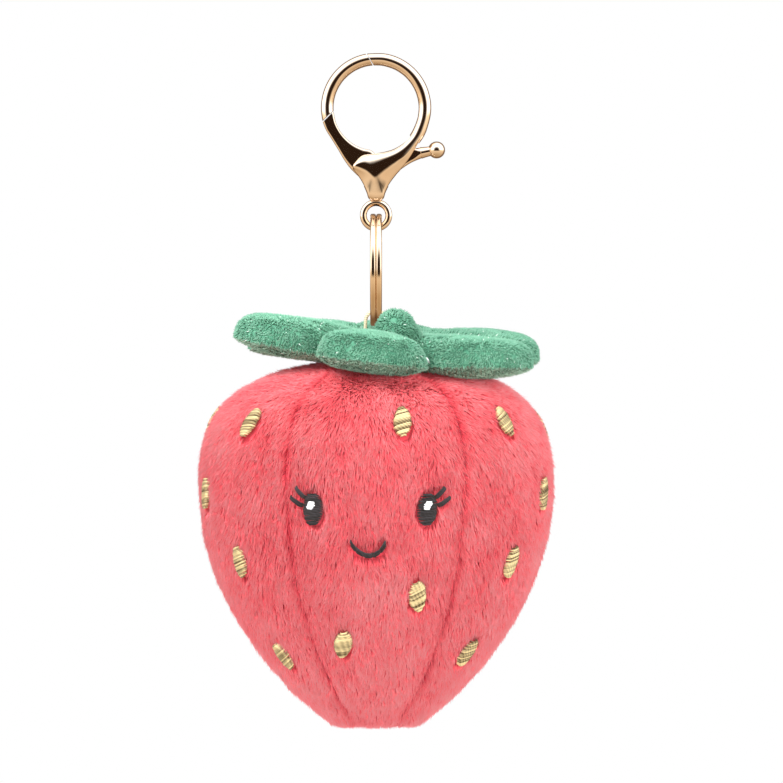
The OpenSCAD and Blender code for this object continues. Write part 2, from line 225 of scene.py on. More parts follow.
def noise(points: Array, size: float, seed: int) -> Array:
    """Smooth noise from -1 to 1: random numbers on a cubic lattice, blended with smoothstep weights.

    Args:
        points: Shape (..., 3).
        size: The lattice's spacing in millimetres.
        seed: Picks the random numbers.

    Returns:
        One number per point.
    """
    table = np.random.default_rng(seed).uniform(-1, 1, (32, 32, 32))
    cell = np.floor(points / size).astype(int)
    f = points / size - cell
    f = f * f * (3 - 2 * f)
    total = np.zeros(points.shape[:-1])
    for corner in np.ndindex(2, 2, 2):
        at = (cell + corner) % 32
        weight = np.prod(np.where(np.array(corner) == 1, f, 1 - f), axis=-1)
        total += weight * table[at[..., 0], at[..., 1], at[..., 2]]
    return total


def step(x: Array, low: float, high: float) -> Array:
    """Smoothstep: 0 below low, 1 above high, 3t^2 - 2t^3 between them."""
    t = np.clip((x - low) / (high - low), 0, 1)
    return t * t * (3 - 2 * t)


def make(
    name: str, patch: Patch, finish: "Finish", body: str | None, sharp: float = 0.0
) -> bpy.types.Object:
    """Puts a patch into a mesh object at the origin, dresses it and lets it ride.

    Args:
        name: The piece's name.
        patch: Its surface, in millimetres; mirrors see it if it is metal.
        finish: Its material.
        body: The body it rides on, or None to leave it unattached.
        sharp: Edges that turn by more than this many degrees stay sharp; 0 smooths them all.

    Returns:
        The new object.
    """
    mesh = bpy.data.meshes.new(name)
    mesh.vertices.add(len(patch.points))
    mesh.vertices.foreach_set("co", (patch.points * MM).astype(np.float32).ravel())
    corners = np.concatenate([face.ravel() for face in patch.faces])
    sizes = np.concatenate([np.full(len(face), face.shape[1]) for face in patch.faces])
    mesh.loops.add(len(corners))
    mesh.loops.foreach_set("vertex_index", corners.astype(np.int32))
    mesh.polygons.add(len(sizes))
    mesh.polygons.foreach_set("loop_start", np.concatenate([[0], np.cumsum(sizes)[:-1]]).astype(np.int32))
    mesh.update(calc_edges=True)
    mesh.shade_smooth()
    if sharp:
        mesh.set_sharp_from_angle(angle=math.radians(sharp))
    for key, numbers in patch.values.items():
        layer = mesh.attributes.new(key, "FLOAT", "POINT")
        layer.data.foreach_set("value", numbers.astype(np.float32))
    piece = bpy.data.objects.new(name, mesh)
    bpy.context.scene.collection.objects.link(piece)
    mesh.materials.append(finish.material())
    piece.visible_glossy = isinstance(finish, PlatedMetal)
    if body:
        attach(piece, body)
    LOG.info("%s: %d vertices, %d faces", name, len(patch.points), len(sizes))
    return piece


def inflate(patch: Patch, held: Array, pressure: float, cap: float, frames: int = 20, scale: float = 10.0) -> Array:
    """Blows up a closed fabric surface by cloth simulation, without gravity.

    Args:
        patch: The closed surface.
        held: True at the vertices that stay where they are.
        pressure: The air's pressure on the fabric.
        cap: How far a vertex may move, in millimetres.
        frames: How many steps the simulation takes.
        scale: The fabric is simulated at this many times its size, which keeps the solver steady.

    Returns:
        The new points, in millimetres.
    """
    scene = bpy.context.scene
    mesh = bpy.data.meshes.new("inflating")
    faces = [tuple(f) for face in patch.faces for f in face.tolist()]
    mesh.from_pydata((patch.points * MM * scale).tolist(), [], faces)
    blown = bpy.data.objects.new("inflating", mesh)
    scene.collection.objects.link(blown)
    group = blown.vertex_groups.new(name="held")
    group.add(np.flatnonzero(held).tolist(), 1.0, "REPLACE")
    cloth = blown.modifiers.new("air", "CLOTH")
    cloth.settings.use_pressure = True
    cloth.settings.uniform_pressure_force = pressure
    cloth.settings.vertex_group_mass = "held"
    cloth.settings.effector_weights.gravity = 0
    cloth.settings.quality = 4
    cloth.point_cache.frame_start = 1
    cloth.point_cache.frame_end = frames
    for frame_number in range(1, frames + 1):
        scene.frame_set(frame_number)
    settled = blown.evaluated_get(bpy.context.evaluated_depsgraph_get())
    moved = np.empty(len(patch.points) * 3, np.float32)
    settled.data.vertices.foreach_get("co", moved)
    bpy.data.objects.remove(blown)
    scene.frame_set(1)
    offset = moved.reshape(-1, 3) / (MM * scale) - patch.points
    length = np.linalg.norm(offset, axis=1, keepdims=True)
    LOG.info("inflated: mean %.2f mm, most %.2f mm before the cap", length.mean(), length.max())
    return patch.points + offset * np.minimum(1, cap / np.maximum(length, 1e-9))


# ---------------------------------------------------------------- finishes


def linear(code: str) -> tuple[float, float, float, float]:
    """Turns an sRGB hex colour into linear values with full alpha."""
    parts = [int(code[k : k + 2], 16) / 255 for k in (1, 3, 5)]
    red, green, blue = (p / 12.92 if p <= 0.04045 else ((p + 0.055) / 1.055) ** 2.4 for p in parts)
    return red, green, blue, 1.0


def add_node(tree: bpy.types.NodeTree, kind: str, settings: dict, inputs: dict) -> bpy.types.Node:
    """Adds a node.

    Args:
        tree: The node tree.
        kind: The node's Blender type.
        settings: Its properties; "ramp" holds a colour ramp's (position, hex) stops.
        inputs: Socket name or number to a constant, or to another node's output socket.

    Returns:
        The node.
    """
    node = tree.nodes.new(kind)
    for key, value in settings.items():
        if key == "ramp":
            stops = node.color_ramp.elements
            while len(stops) < len(value):
                stops.new(0.5)
            for stop, (place, code) in zip(stops, value):
                stop.position = place
                stop.color = linear(code)
        else:
            setattr(node, key, value)
    for key, value in inputs.items():
        if isinstance(value, bpy.types.NodeSocket):
            tree.links.new(value, node.inputs[key])
        else:
            node.inputs[key].default_value = value
    return node


@dataclass(frozen=True)
class Finish:
    """A material, made once and shared by the pieces that ask for it."""

    name: str

    def material(self) -> bpy.types.Material:
        """Returns the material, and makes it the first time."""
        found = bpy.data.materials.get(self.name)
        if found is None:
            found = bpy.data.materials.new(self.name)
            found.use_nodes = True
            tree = found.node_tree
            tree.nodes.clear()
            shader = self.shade(tree)
            add_node(tree, "ShaderNodeOutputMaterial", {}, {"Surface": shader.outputs["BSDF"]})
        return found

    def shade(self, tree: bpy.types.NodeTree) -> bpy.types.Node:
        """Adds the nodes and returns the shader."""
        raise NotImplementedError


@dataclass(frozen=True)
class PileFabric(Finish):
    """Short velboa plush: polyester pile with painted shade at its roots and painted highlight at its tips."""

    root: str
    body: str
    tip: str
    fleck: str
    fleck_share: float = 0.0
    sheen: float = 0.35
    patch_mm: float = 9.0

    def shade(self, tree: bpy.types.NodeTree) -> bpy.types.Node:
        """Colour runs from root to tip, from painted shade to painted highlight, shifted by strand and by soft patches
        of nap; flecks are bright strands.
        """
        along = add_node(tree, "ShaderNodeAttribute", {"attribute_name": "along"}, {})
        strand = add_node(tree, "ShaderNodeAttribute", {"attribute_name": "strand"}, {})
        place = add_node(tree, "ShaderNodeTexCoord", {}, {})
        nap = add_node(
            tree,
            "ShaderNodeTexNoise",
            {},
            {"Vector": place.outputs["Object"], "Scale": NOISE_SCALE / self.patch_mm, "Detail": 2.0},
        )
        mixed = add_node(
            tree, "ShaderNodeMath", {"operation": "MULTIPLY_ADD"}, {0: strand.outputs["Fac"], 1: 0.34, 2: -0.17}
        )
        shade = add_node(
            tree, "ShaderNodeMath", {"operation": "MULTIPLY_ADD"}, {0: nap.outputs["Fac"], 1: 0.5, 2: mixed.outputs[0]}
        )
        total = add_node(
            tree,
            "ShaderNodeMath",
            {"operation": "MULTIPLY_ADD"},
            {0: along.outputs["Fac"], 1: 0.62, 2: shade.outputs[0]},
        )
        # Painted shade at the root end of the ramp, painted highlight at the tip end.
        stops = [(0.16, self.root), (0.5, self.body), (0.92, self.tip)]
        ramp = add_node(tree, "ShaderNodeValToRGB", {"ramp": stops}, {0: total.outputs[0]})
        plain = 1.0 - self.fleck_share
        pick = add_node(tree, "ShaderNodeMath", {"operation": "GREATER_THAN"}, {0: strand.outputs["Fac"], 1: plain})
        colour = add_node(
            tree,
            "ShaderNodeMix",
            {"data_type": "RGBA"},
            {0: pick.outputs[0], 6: ramp.outputs["Color"], 7: linear(self.fleck)},
        )
        return add_node(
            tree,
            "ShaderNodeBsdfPrincipled",
            {},
            {
                "Base Color": colour.outputs[2],
                "Roughness": 0.82,
                "Specular IOR Level": 0.2,
                "Sheen Weight": self.sheen,
                "Sheen Roughness": 0.45,
                "Sheen Tint": linear(self.tip),
            },
        )


@dataclass(frozen=True)
class PlatedMetal(Finish):
    """Plated zinc or steel: a mirror with faint polishing marks and a slight drift of tone."""

    light: str
    deep: str
    roughness: float
    grain_mm: float = 0.35

    def shade(self, tree: bpy.types.NodeTree) -> bpy.types.Node:
        """Tone drifts over some millimetres, and fine noise varies the roughness and lifts the surface by a hair."""
        place = add_node(tree, "ShaderNodeTexCoord", {}, {})
        drift = add_node(
            tree, "ShaderNodeTexNoise", {}, {"Vector": place.outputs["Object"], "Scale": 160.0, "Detail": 2.0}
        )
        tone = add_node(
            tree, "ShaderNodeValToRGB", {"ramp": [(0.35, self.deep), (0.65, self.light)]}, {0: drift.outputs["Fac"]}
        )
        grain = add_node(
            tree,
            "ShaderNodeTexNoise",
            {},
            {"Vector": place.outputs["Object"], "Scale": NOISE_SCALE / self.grain_mm, "Detail": 3.0},
        )
        rough = add_node(
            tree,
            "ShaderNodeMapRange",
            {},
            {"Value": grain.outputs["Fac"], "To Min": self.roughness * 0.7, "To Max": self.roughness * 1.4},
        )
        lift = add_node(
            tree, "ShaderNodeBump", {}, {"Height": grain.outputs["Fac"], "Strength": 0.008, "Distance": 0.00002}
        )
        return add_node(
            tree,
            "ShaderNodeBsdfPrincipled",
            {},
            {
                "Base Color": tone.outputs["Color"],
                "Metallic": 1.0,
                "Roughness": rough.outputs["Result"],
                "Normal": lift.outputs["Normal"],
            },
        )


@dataclass(frozen=True)
class Thread(Finish):
    """Embroidery thread: smooth filament whose stitches differ a little in tone."""

    dark: str
    light: str
    metallic: float
    roughness: float
    twist_mm: float = 0.5

    def shade(self, tree: bpy.types.NodeTree) -> bpy.types.Node:
        """Each stitch takes its own tone, and fine bands across it stand for the twist of the thread."""
        strand = add_node(tree, "ShaderNodeAttribute", {"attribute_name": "strand"}, {})
        place = add_node(tree, "ShaderNodeTexCoord", {}, {})
        twist = add_node(
            tree,
            "ShaderNodeTexWave",
            {"bands_direction": "DIAGONAL"},
            {"Vector": place.outputs["Object"], "Scale": WAVE_SCALE / self.twist_mm, "Distortion": 2.0},
        )
        blend = add_node(
            tree,
            "ShaderNodeMath",
            {"operation": "MULTIPLY_ADD"},
            {0: twist.outputs["Fac"], 1: 0.3, 2: strand.outputs["Fac"]},
        )
        tone = add_node(
            tree, "ShaderNodeValToRGB", {"ramp": [(0.1, self.dark), (1.0, self.light)]}, {0: blend.outputs[0]}
        )
        lift = add_node(
            tree, "ShaderNodeBump", {}, {"Height": twist.outputs["Fac"], "Strength": 0.4, "Distance": 0.00006}
        )
        return add_node(
            tree,
            "ShaderNodeBsdfPrincipled",
            {},
            {
                "Base Color": tone.outputs["Color"],
                "Metallic": self.metallic,
                "Roughness": self.roughness,
                "Normal": lift.outputs["Normal"],
            },
        )


@dataclass(frozen=True)
class WovenTape(Finish):
    """Cotton tape: plain weave with matt yarns about 0.4 mm apart."""

    dark: str
    light: str
    yarn_mm: float = 0.4

    def shade(self, tree: bpy.types.NodeTree) -> bpy.types.Node:
        """Two crossed sine bands, along the strip and across it, make the weave's colour and relief."""
        place = add_node(tree, "ShaderNodeTexCoord", {}, {})
        bands = [
            add_node(
                tree,
                "ShaderNodeTexWave",
                {"bands_direction": way},
                {"Vector": place.outputs["Object"], "Scale": WAVE_SCALE / self.yarn_mm},
            )
            for way in ("Y", "Z")
        ]
        warp, weft = (band.outputs["Fac"] for band in bands)
        weave = add_node(tree, "ShaderNodeMath", {"operation": "MULTIPLY"}, {0: warp, 1: weft})
        tone = add_node(
            tree, "ShaderNodeValToRGB", {"ramp": [(0.0, self.dark), (0.6, self.light)]}, {0: weave.outputs[0]}
        )
        lift = add_node(tree, "ShaderNodeBump", {}, {"Height": weave.outputs[0], "Strength": 0.5, "Distance": 0.0001})
        return add_node(
            tree,
            "ShaderNodeBsdfPrincipled",
            {},
            {"Base Color": tone.outputs["Color"], "Roughness": 0.85, "Normal": lift.outputs["Normal"]},
        )


@dataclass(frozen=True)
class Fibrefill(Finish):
    """Polyester filling: white, matt and matted into soft lumps."""

    dark: str
    light: str

    def shade(self, tree: bpy.types.NodeTree) -> bpy.types.Node:
        """Noise of 2 mm lumps tints and lifts the surface."""
        place = add_node(tree, "ShaderNodeTexCoord", {}, {})
        lumps = add_node(
            tree, "ShaderNodeTexNoise", {}, {"Vector": place.outputs["Object"], "Scale": NOISE_SCALE / 2, "Detail": 4.0}
        )
        tone = add_node(
            tree, "ShaderNodeValToRGB", {"ramp": [(0.3, self.dark), (0.7, self.light)]}, {0: lumps.outputs["Fac"]}
        )
        lift = add_node(
            tree, "ShaderNodeBump", {}, {"Height": lumps.outputs["Fac"], "Strength": 0.6, "Distance": 0.0005}
        )
        return add_node(
            tree,
            "ShaderNodeBsdfPrincipled",
            {},
            {"Base Color": tone.outputs["Color"], "Roughness": 0.95, "Normal": lift.outputs["Normal"]},
        )


class Finishes:
    """The finishes of this charm, each with what it gives the eye."""

    # Dyed polyester pile: soft coral fur, with painted shade deeper between the strands and painted highlight where the
    # tips catch the light.
    RED_PILE = PileFabric("red_velboa_plush", "#CC3444", "#FF6872", "#FFA2A6", "#FFB8BA")
    # The knitted ground under it: a duller red that shows only where the pile parts.
    RED_GROUND = PileFabric("red_plush_backing", "#C23442", "#EC5561", "#FF7E88", "#FF7E88", sheen=0.2)
    # Crushed green pile: a matt leaf green, sprinkled with single bright fibres, with painted shade at the roots and
    # painted highlight at the tips.
    GREEN_PILE = PileFabric(
        "green_velboa_plush", "#3E7A60", "#6CA88C", "#98CCB2", "#F2FFF8", fleck_share=0.02, sheen=0.25, patch_mm=7.0
    )
    # A greyer copy of the green pile for the leaves' undersides: painted shade of the side that faces down.
    GREEN_PILE_SHADED_UNDERSIDE = PileFabric(
        "green_plush_painted_underside_shade", "#557060", "#84A48E", "#A6C4AC", "#EEF5EA", fleck_share=0.01, sheen=0.2
    )
    # Die-cast zinc, polished and flash plated: a clean warm mirror with hardly any grain.
    GOLD = PlatedMetal("polished_champagne_gold_plating", "#F8E8D6", "#EFD8C0", 0.05)
    # Rolled steel wire with the same plating: softer highlights from the drawing marks.
    RING_GOLD = PlatedMetal("pale_gold_plated_wire", "#F6E4CC", "#EAD0B0", 0.12, 0.25)
    # Bare spring strip: a grey, brushed gleam.
    STEEL = PlatedMetal("spring_steel_strip", "#C9CBCF", "#A9ACB2", 0.3, 0.2)
    # Metallised film round a core: threads that flash from straw to brown as they turn.
    GOLD_THREAD = Thread("gold_metallised_thread", "#5A4626", "#F2DDA8", 0.5, 0.38)
    # Trilobal rayon: near black with a soft shine along each stitch.
    BLACK_THREAD = Thread("black_rayon_thread", "#0C0A0C", "#2A262A", 0.0, 0.5)
    # The same yarn in white: small bright satin spots.
    WHITE_THREAD = Thread("white_rayon_thread", "#D8D8E0", "#FFFFFF", 0.0, 0.4)
    # Spun polyester sewing thread: matt, a shade darker than the plush.
    RED_THREAD = Thread("red_sewing_thread", "#8E1F2C", "#C93D4B", 0.0, 0.6)
    # Unbleached cotton weave: cream, matt, with a visible thread grid.
    TAPE = WovenTape("cream_cotton_tape", "#C9BA96", "#EFE4C8")
    # Carded fibre: cloudy white lumps, inside the berry.
    FILLING = Fibrefill("white_polyester_filling", "#DADADA", "#F8F8F6")


# ---------------------------------------------------------------- pile


@dataclass
class Field:
    """A grid of points that pile grows on; its rows follow the nap."""

    points: Array

    def grown(self, count: int, seed: int) -> tuple[Array, Array, Array, Array]:
        """Picks roots evenly over the area: a cell is drawn in proportion to its area, then a spot in it.

        Args:
            count: How many roots.
            seed: Picks the random numbers.

        Returns:
            The roots, the surface's normals there, the nap's direction and the direction across it.
        """
        rng = np.random.default_rng(seed)
        p = self.points
        down = np.gradient(p, axis=0)
        across = np.gradient(p, axis=1)
        area = np.linalg.norm(np.cross(p[1:, :-1] - p[:-1, :-1], p[:-1, 1:] - p[:-1, :-1]), axis=-1)
        cell = rng.choice(area.size, count, p=area.ravel() / area.sum())
        row, col = np.unravel_index(cell, area.shape)
        s, t = rng.random((2, count, 1))
        corners = [
            (row, col, (1 - s) * (1 - t)),
            (row + 1, col, s * (1 - t)),
            (row, col + 1, (1 - s) * t),
            (row + 1, col + 1, s * t),
        ]
        roots, nap, side = (sum(w * grid[r, c] for r, c, w in corners) for grid in (p, down, across))
        return roots, unit(np.cross(nap, side)), unit(nap), unit(side)


@dataclass
class Pile:
    """Short fur: each strand is a three-sided spike, leaning with the nap and drawn towards its lock."""

    length: float
    width: float
    lean: float
    ruffle: float
    lock: float = 1.2
    pull: float = 0.35

    @staticmethod
    def turned_axes() -> Array:
        """Axes of the lattice of locks: oblique, so that its cells do not line up with the panels."""
        first = unit(np.array([0.62, 0.55, 0.56]))
        second = unit(np.cross(first, np.array([0.3, -0.2, 0.93])))
        return np.stack([first, second, np.cross(first, second)], axis=1)

    def strands(
        self,
        roots: Array,
        normals: Array,
        nap: Array,
        side: Array,
        seed: int,
        turn: Array | float = 0.0,
        painted_shade: Array | float = 0.0,
        cut: Array | float = 1.0,
    ) -> Patch:
        """Direction = cos(lean) * normal + sin(lean) * (nap turned by smooth noise); the tip moves towards its lock.

        Args:
            roots: Where the strands start.
            normals: The surface's normals.
            nap: The direction in which they lie.
            side: The direction across the nap.
            seed: Picks the random numbers.
            turn: An extra turn of the nap in radians.
            painted_shade: How much the strands' tone is lowered: painted shade.
            cut: What share of its length each strand keeps.

        Returns:
            All strands in one patch.
        """
        rng = np.random.default_rng(seed)
        count = len(roots)
        turn = turn + self.ruffle * (noise(roots, 4.5, seed + 1) + 0.5 * noise(roots, 1.6, seed + 2))
        turn = (turn + 0.15 * rng.standard_normal(count))[:, None]
        lean = np.radians(self.lean + 8 * noise(roots, 3.0, seed + 3) + 5 * rng.standard_normal(count))[:, None]
        lying = nap * np.cos(turn) + side * np.sin(turn)
        length = self.length * (0.8 + 0.4 * rng.random((count, 1))) * np.broadcast_to(cut, count)[:, None]
        tips = roots + length * (np.cos(lean) * normals + np.sin(lean) * lying)
        turned = roots @ self.turned_axes()
        cell = np.floor(turned / self.lock).astype(int)
        jitter = np.random.default_rng(seed + 4).uniform(-0.4, 0.4, (32, 32, 32, 3))
        centre = (cell + 0.5 + jitter[cell[:, 0] % 32, cell[:, 1] % 32, cell[:, 2] % 32]) * self.lock
        centre = centre @ self.turned_axes().T
        draw = centre - roots
        draw -= normals * np.sum(draw * normals, axis=1, keepdims=True)
        draw -= lying * np.sum(draw * lying, axis=1, keepdims=True)
        tips = tips + self.pull * draw
        way = unit(tips - roots)
        flank = unit(np.cross(way, normals))
        ridge = np.cross(flank, way)
        width = self.width * (0.75 + 0.5 * rng.random((count, 1)))
        corners = [roots + flank * width / 2, roots - flank * width / 2, roots + ridge * width * 0.6, tips]
        base = 4 * np.arange(count)[:, None]
        faces = np.concatenate([base + np.array(f) for f in ((0, 2, 3), (2, 1, 3), (1, 0, 3), (0, 1, 2))])
        tones = np.random.default_rng(seed + 5).random((32, 32, 32))
        lock_tone = tones[cell[:, 0] % 32, cell[:, 1] % 32, cell[:, 2] % 32]
        tone = 0.6 * rng.random(count) + 0.4 * lock_tone
        tone = np.where(rng.random(count) > 0.994, 1.0, 0.97 * tone) - painted_shade
        values = {"along": np.tile([0.0, 0.0, 0.0, 1.0], count), "strand": np.repeat(tone, 4)}
        return Patch(np.stack(corners, axis=1).reshape(-1, 3), [faces], values).facing_out()


# ---------------------------------------------------------------- berry


class Side(Enum):
    """The side panels, by the azimuth of their middle in degrees from the front towards the right."""

    FRONT = 0
    FRONT_RIGHT = 60
    BACK_RIGHT = 120
    BACK = 180
    BACK_LEFT = 240
    FRONT_LEFT = 300


@dataclass(frozen=True)
class Mark:
    """A place for embroidery, by its azimuth from the front, its drop below the berry's top and its lean.

    The pile keeps free of an ellipse with the two half sizes.
    """

    azimuth: float
    drop: float
    lean: float
    half_width: float
    half_height: float


@dataclass
class Berry:
    """The stuffed body: six panels of pile between sewn seams, a base panel, stitches and filling.

    Its bottom and its radius are the front panel's; top is the outline's height on the axis.
    """

    bottom: float
    radius: float
    height: float = 79.0
    widest: float = 27.0
    base_radius: float = 9.3
    depth: float = 1.15
    seam_depth: float = 2.35
    hole: float = 3.6
    rows: int = 52
    per_panel: int = 16
    strands_per_panel: int = 41000
    base_strands: int = 5200
    pressure: float = 4.0
    puff: float = 1.3

    @classmethod
    def packed(cls) -> "Berry":
        """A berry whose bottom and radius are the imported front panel's."""
        low = corners_of("gore_front")[0]
        return cls(bottom=low[2], radius=-low[1])

    @property
    def top(self) -> float:
        """The height of the outline on the axis, under the star."""
        return self.bottom + self.height

    def outline(self, count: int) -> Array:
        """The profile (radius, z) from the axis to the base seam: two cubic curves, evenly spaced along them."""
        low = self.height - self.widest
        r, z = self.radius, self.top
        upper = np.array([[0, z], [0.917 * r, z], [r, z - 0.53 * self.widest], [r, z - self.widest]])
        lower = np.array(
            [
                [r, z - self.widest],
                [r, z - self.widest - 0.404 * low],
                [0.672 * r, z - self.widest - 0.77 * low],
                [self.base_radius, z - self.height],
            ]
        )
        t = np.linspace(0, 1, 200)[:, None]
        weights = [(1 - t) ** 3, 3 * (1 - t) ** 2 * t, 3 * (1 - t) * t**2, t**3]
        halves = [sum(w * p for w, p in zip(weights, knots)) for knots in (upper, lower)]
        line = np.concatenate([halves[0], halves[1][1:]])
        along = np.concatenate([[0], np.cumsum(np.linalg.norm(np.diff(line, axis=0), axis=1))])
        at = np.linspace(0, along[-1], count)
        return np.stack([np.interp(at, along, line[:, 0]), np.interp(at, along, line[:, 1])], axis=-1)

    def inset(self, count: int, depth: float) -> Array:
        """The profile moved inwards by depth along its normal."""
        line = self.outline(count)
        tangent = unit(np.gradient(line, axis=0))
        moved = line + depth * np.stack([tangent[:, 1], -tangent[:, 0]], axis=-1)
        moved[:, 0] = np.maximum(moved[:, 0], 0)
        return moved

    def place(self, mark: Mark, local: Array) -> Array:
        """Lays local points (right, up, out) on the berry's outline round a mark.

        Args:
            mark: Where they go.
            local: Shape (..., 3) in millimetres.

        Returns:
            Points in the charm's frame.
        """
        line = self.outline(400)
        z0 = self.top - mark.drop
        body = line[line[:, 0] > 1]
        lean = math.radians(mark.lean)
        right = local[..., 0] * math.cos(lean) + local[..., 1] * math.sin(lean)
        up = local[..., 1] * math.cos(lean) - local[..., 0] * math.sin(lean)
        along = np.concatenate([[0], np.cumsum(np.linalg.norm(np.diff(body, axis=0), axis=1))])
        start = np.interp(-z0, -body[:, 1], along)
        at = start - up
        radius, z = np.interp(at, along, body[:, 0]), np.interp(at, along, body[:, 1])
        ahead, behind = (np.stack([np.interp(at + d, along, body[:, k]) for k in (0, 1)], -1) for d in (0.5, -0.5))
        slope = unit(ahead - behind)
        azimuth = math.radians(mark.azimuth) + right / np.maximum(radius, 5)
        outward = np.stack([np.sin(azimuth), -np.cos(azimuth)], axis=-1)
        out_r, out_z = -slope[..., 1] * local[..., 2], slope[..., 0] * local[..., 2]
        flat = outward * (radius + out_r)[..., None]
        return np.concatenate([flat, (z + out_z)[..., None]], axis=-1)

    def fabric(self) -> Array:
        """The fabric's ground as a closed grid (rows, 6 * per_panel, 3), from round the hole down to the base seam.

        The outline moved in by depth + (seam_depth - depth) * |a / 30 degrees| ^ n, a from a panel's middle. Where
        cloth simulation blows the panels up between their held seams, n is 2.5, and otherwise it is 6.
        """
        cols = 6 * self.per_panel
        azimuth = np.linspace(0, TAU, cols, endpoint=False) + math.radians(30)
        near_seam = 30 - np.abs(np.degrees(azimuth) % 60 - 30)  # 30 at a seam, 0 at a panel's middle
        crown, deep = self.inset(self.rows, self.depth), self.inset(self.rows, self.seam_depth)
        first = int(np.argmax(crown[:, 0] > self.hole))
        crown, deep = crown[first:], deep[first:]
        near = (near_seam / 30) ** 2.5
        line = crown[:, None] * (1 - near[None, :, None]) + deep[:, None] * near[None, :, None]
        grid = np.stack([line[..., 0] * np.sin(azimuth), -line[..., 0] * np.cos(azimuth), line[..., 1]], axis=-1)
        held = np.zeros(grid.shape[:2], bool)
        held[:, near_seam > 29.9] = True
        held[:1] = held[-1:] = True
        patch = lattice(grid)
        blown = inflate(patch, np.concatenate([held.ravel(), [True, True]]), self.pressure, self.puff)
        return blown[: grid.size // 3].reshape(grid.shape)

    def panel(self, ground: Array, side: Side, fine: int = 4) -> Array:
        """One panel's part of the ground, with fine times as many rows and columns, by Catmull-Rom curves."""
        cols = self.per_panel
        start = (side.value // 60 * cols - cols) % (6 * cols)
        picked = ground[:, (start + np.arange(-1, cols + 2)) % (6 * cols)]
        rows = between(picked, np.linspace(0, len(picked) - 1, (len(picked) - 1) * fine + 1))
        across = between(rows.transpose(1, 0, 2), np.linspace(1, cols + 1, cols * fine + 1))
        return across.transpose(1, 0, 2)

    def free_of(self, marks: list[Mark], roots: Array, tips: Array, seed: int) -> Array:
        """True for strands that leave the embroidery in view: not rooted in a mark, and few that lie over it."""
        rng = np.random.default_rng(seed)
        keep = np.ones(len(roots), bool)
        for mark in marks:
            centre, right, up = self.place(mark, np.array([[0, 0, 0], [1, 0, 0], [0, 1, 0]], float))
            for points, margin, share in ((roots, 0.25, 0.0), (tips, -0.35, 0.12)):
                d = points - centre
                u = d @ unit(right - centre) / (mark.half_width + margin)
                v = d @ unit(up - centre) / (mark.half_height + margin)
                near = (u * u + v * v < 1) & (np.linalg.norm(d, axis=1) < 12)
                keep &= ~near | (rng.random(len(roots)) < share)
        return keep

    def build(self, marks: list[Mark]) -> None:
        """Makes the panels, their pile, the base, the seams' stitches and the filling.

        Args:
            marks: The embroidery to keep free of pile.
        """
        ground = self.fabric()
        pile = Pile(length=2.5, width=0.36, lean=66, ruffle=0.33)
        for side in Side:
            name = side.name.lower()
            outer = self.panel(ground, side)
            normals = unit(np.cross(np.gradient(outer, axis=0), np.gradient(outer, axis=1)))
            tone = 0.35 + 0.25 * noise(outer, 0.8, 3)
            skin = shell(outer, outer - 0.55 * normals, {"along": np.full(outer.shape[:2], 0.3), "strand": tone})
            panel = make(f"gore_{name}_panel", skin, Finishes.RED_GROUND, "plush")
            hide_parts(f"gore_{name}")
            seed = 100 + side.value
            roots, normal, nap, across = Field(outer).grown(self.strands_per_panel, seed)
            azimuth = np.degrees(np.arctan2(roots[:, 0], -roots[:, 1]))
            off = (azimuth - side.value + 180) % 360 - 180
            turn = -0.25 * np.sign(off) * step(np.abs(off), 20, 30)
            to_seam = np.radians(30 - np.abs(off)) * np.hypot(roots[:, 0], roots[:, 1])
            # Painted shade: strands darken towards each seam's groove, where the pile dips in.
            painted_shade = 0.6 * np.exp(-((to_seam / 0.9) ** 2))
            cut = np.clip((roots[:, 2] - self.top + self.height) / 3.0, 0.2, 1)
            fur = pile.strands(roots, normal, nap, across, seed, turn, painted_shade, cut)
            corners = fur.points.reshape(-1, 4, 3)
            keep = self.free_of(marks, roots, corners[:, 3], seed)
            fur = self.thinned(fur, keep)
            make(f"gore_{name}_pile", fur, Finishes.RED_PILE, "plush")
        self.base()
        self.stitches()
        self.filling()

    @staticmethod
    def thinned(fur: Patch, keep: Array) -> Patch:
        """Leaves out the strands, four vertices and four faces each, that keep marks False."""
        points = fur.points.reshape(-1, 4, 3)[keep].reshape(-1, 3)
        local = fur.faces[0].reshape(4, len(keep), 3)[:, :1] % 4
        base = 4 * np.arange(int(keep.sum()))[None, :, None]
        values = {name: v.reshape(-1, 4)[keep].ravel() for name, v in fur.values.items()}
        return Patch(points, [(local + base).reshape(-1, 3)], values)

    def base(self) -> None:
        """The base panel: a round pad, z = bottom + 0.9 + 1.3 * (r / R) ^ 5, with pile that lies outwards."""
        r = self.base_radius * np.sin(np.linspace(0.02, 1, 18) * math.pi / 2)
        azimuth = np.linspace(0, TAU, 73)
        z = self.top - self.height + 0.9 + 1.3 * (r / self.base_radius) ** 5
        under = np.stack(
            [r[:, None] * np.sin(azimuth), -r[:, None] * np.cos(azimuth), np.repeat(z[:, None], 73, axis=1)], axis=-1
        )
        over = under[::-1] * np.array([0.93, 0.93, 1]) + np.array([0, 0, 1.2])
        round_pad = lattice(np.concatenate([under, over])[:, :-1])
        pad = make("base_panel_pad", round_pad, Finishes.RED_GROUND, "plush")
        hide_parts("base_panel")
        roots, normal, nap, across = Field(under).grown(self.base_strands, 77)
        fur = Pile(length=0.9, width=0.3, lean=68, ruffle=0.5).strands(roots, -normal, nap, across, 78)
        make("base_panel_pile", fur, Finishes.RED_PILE, "plush")

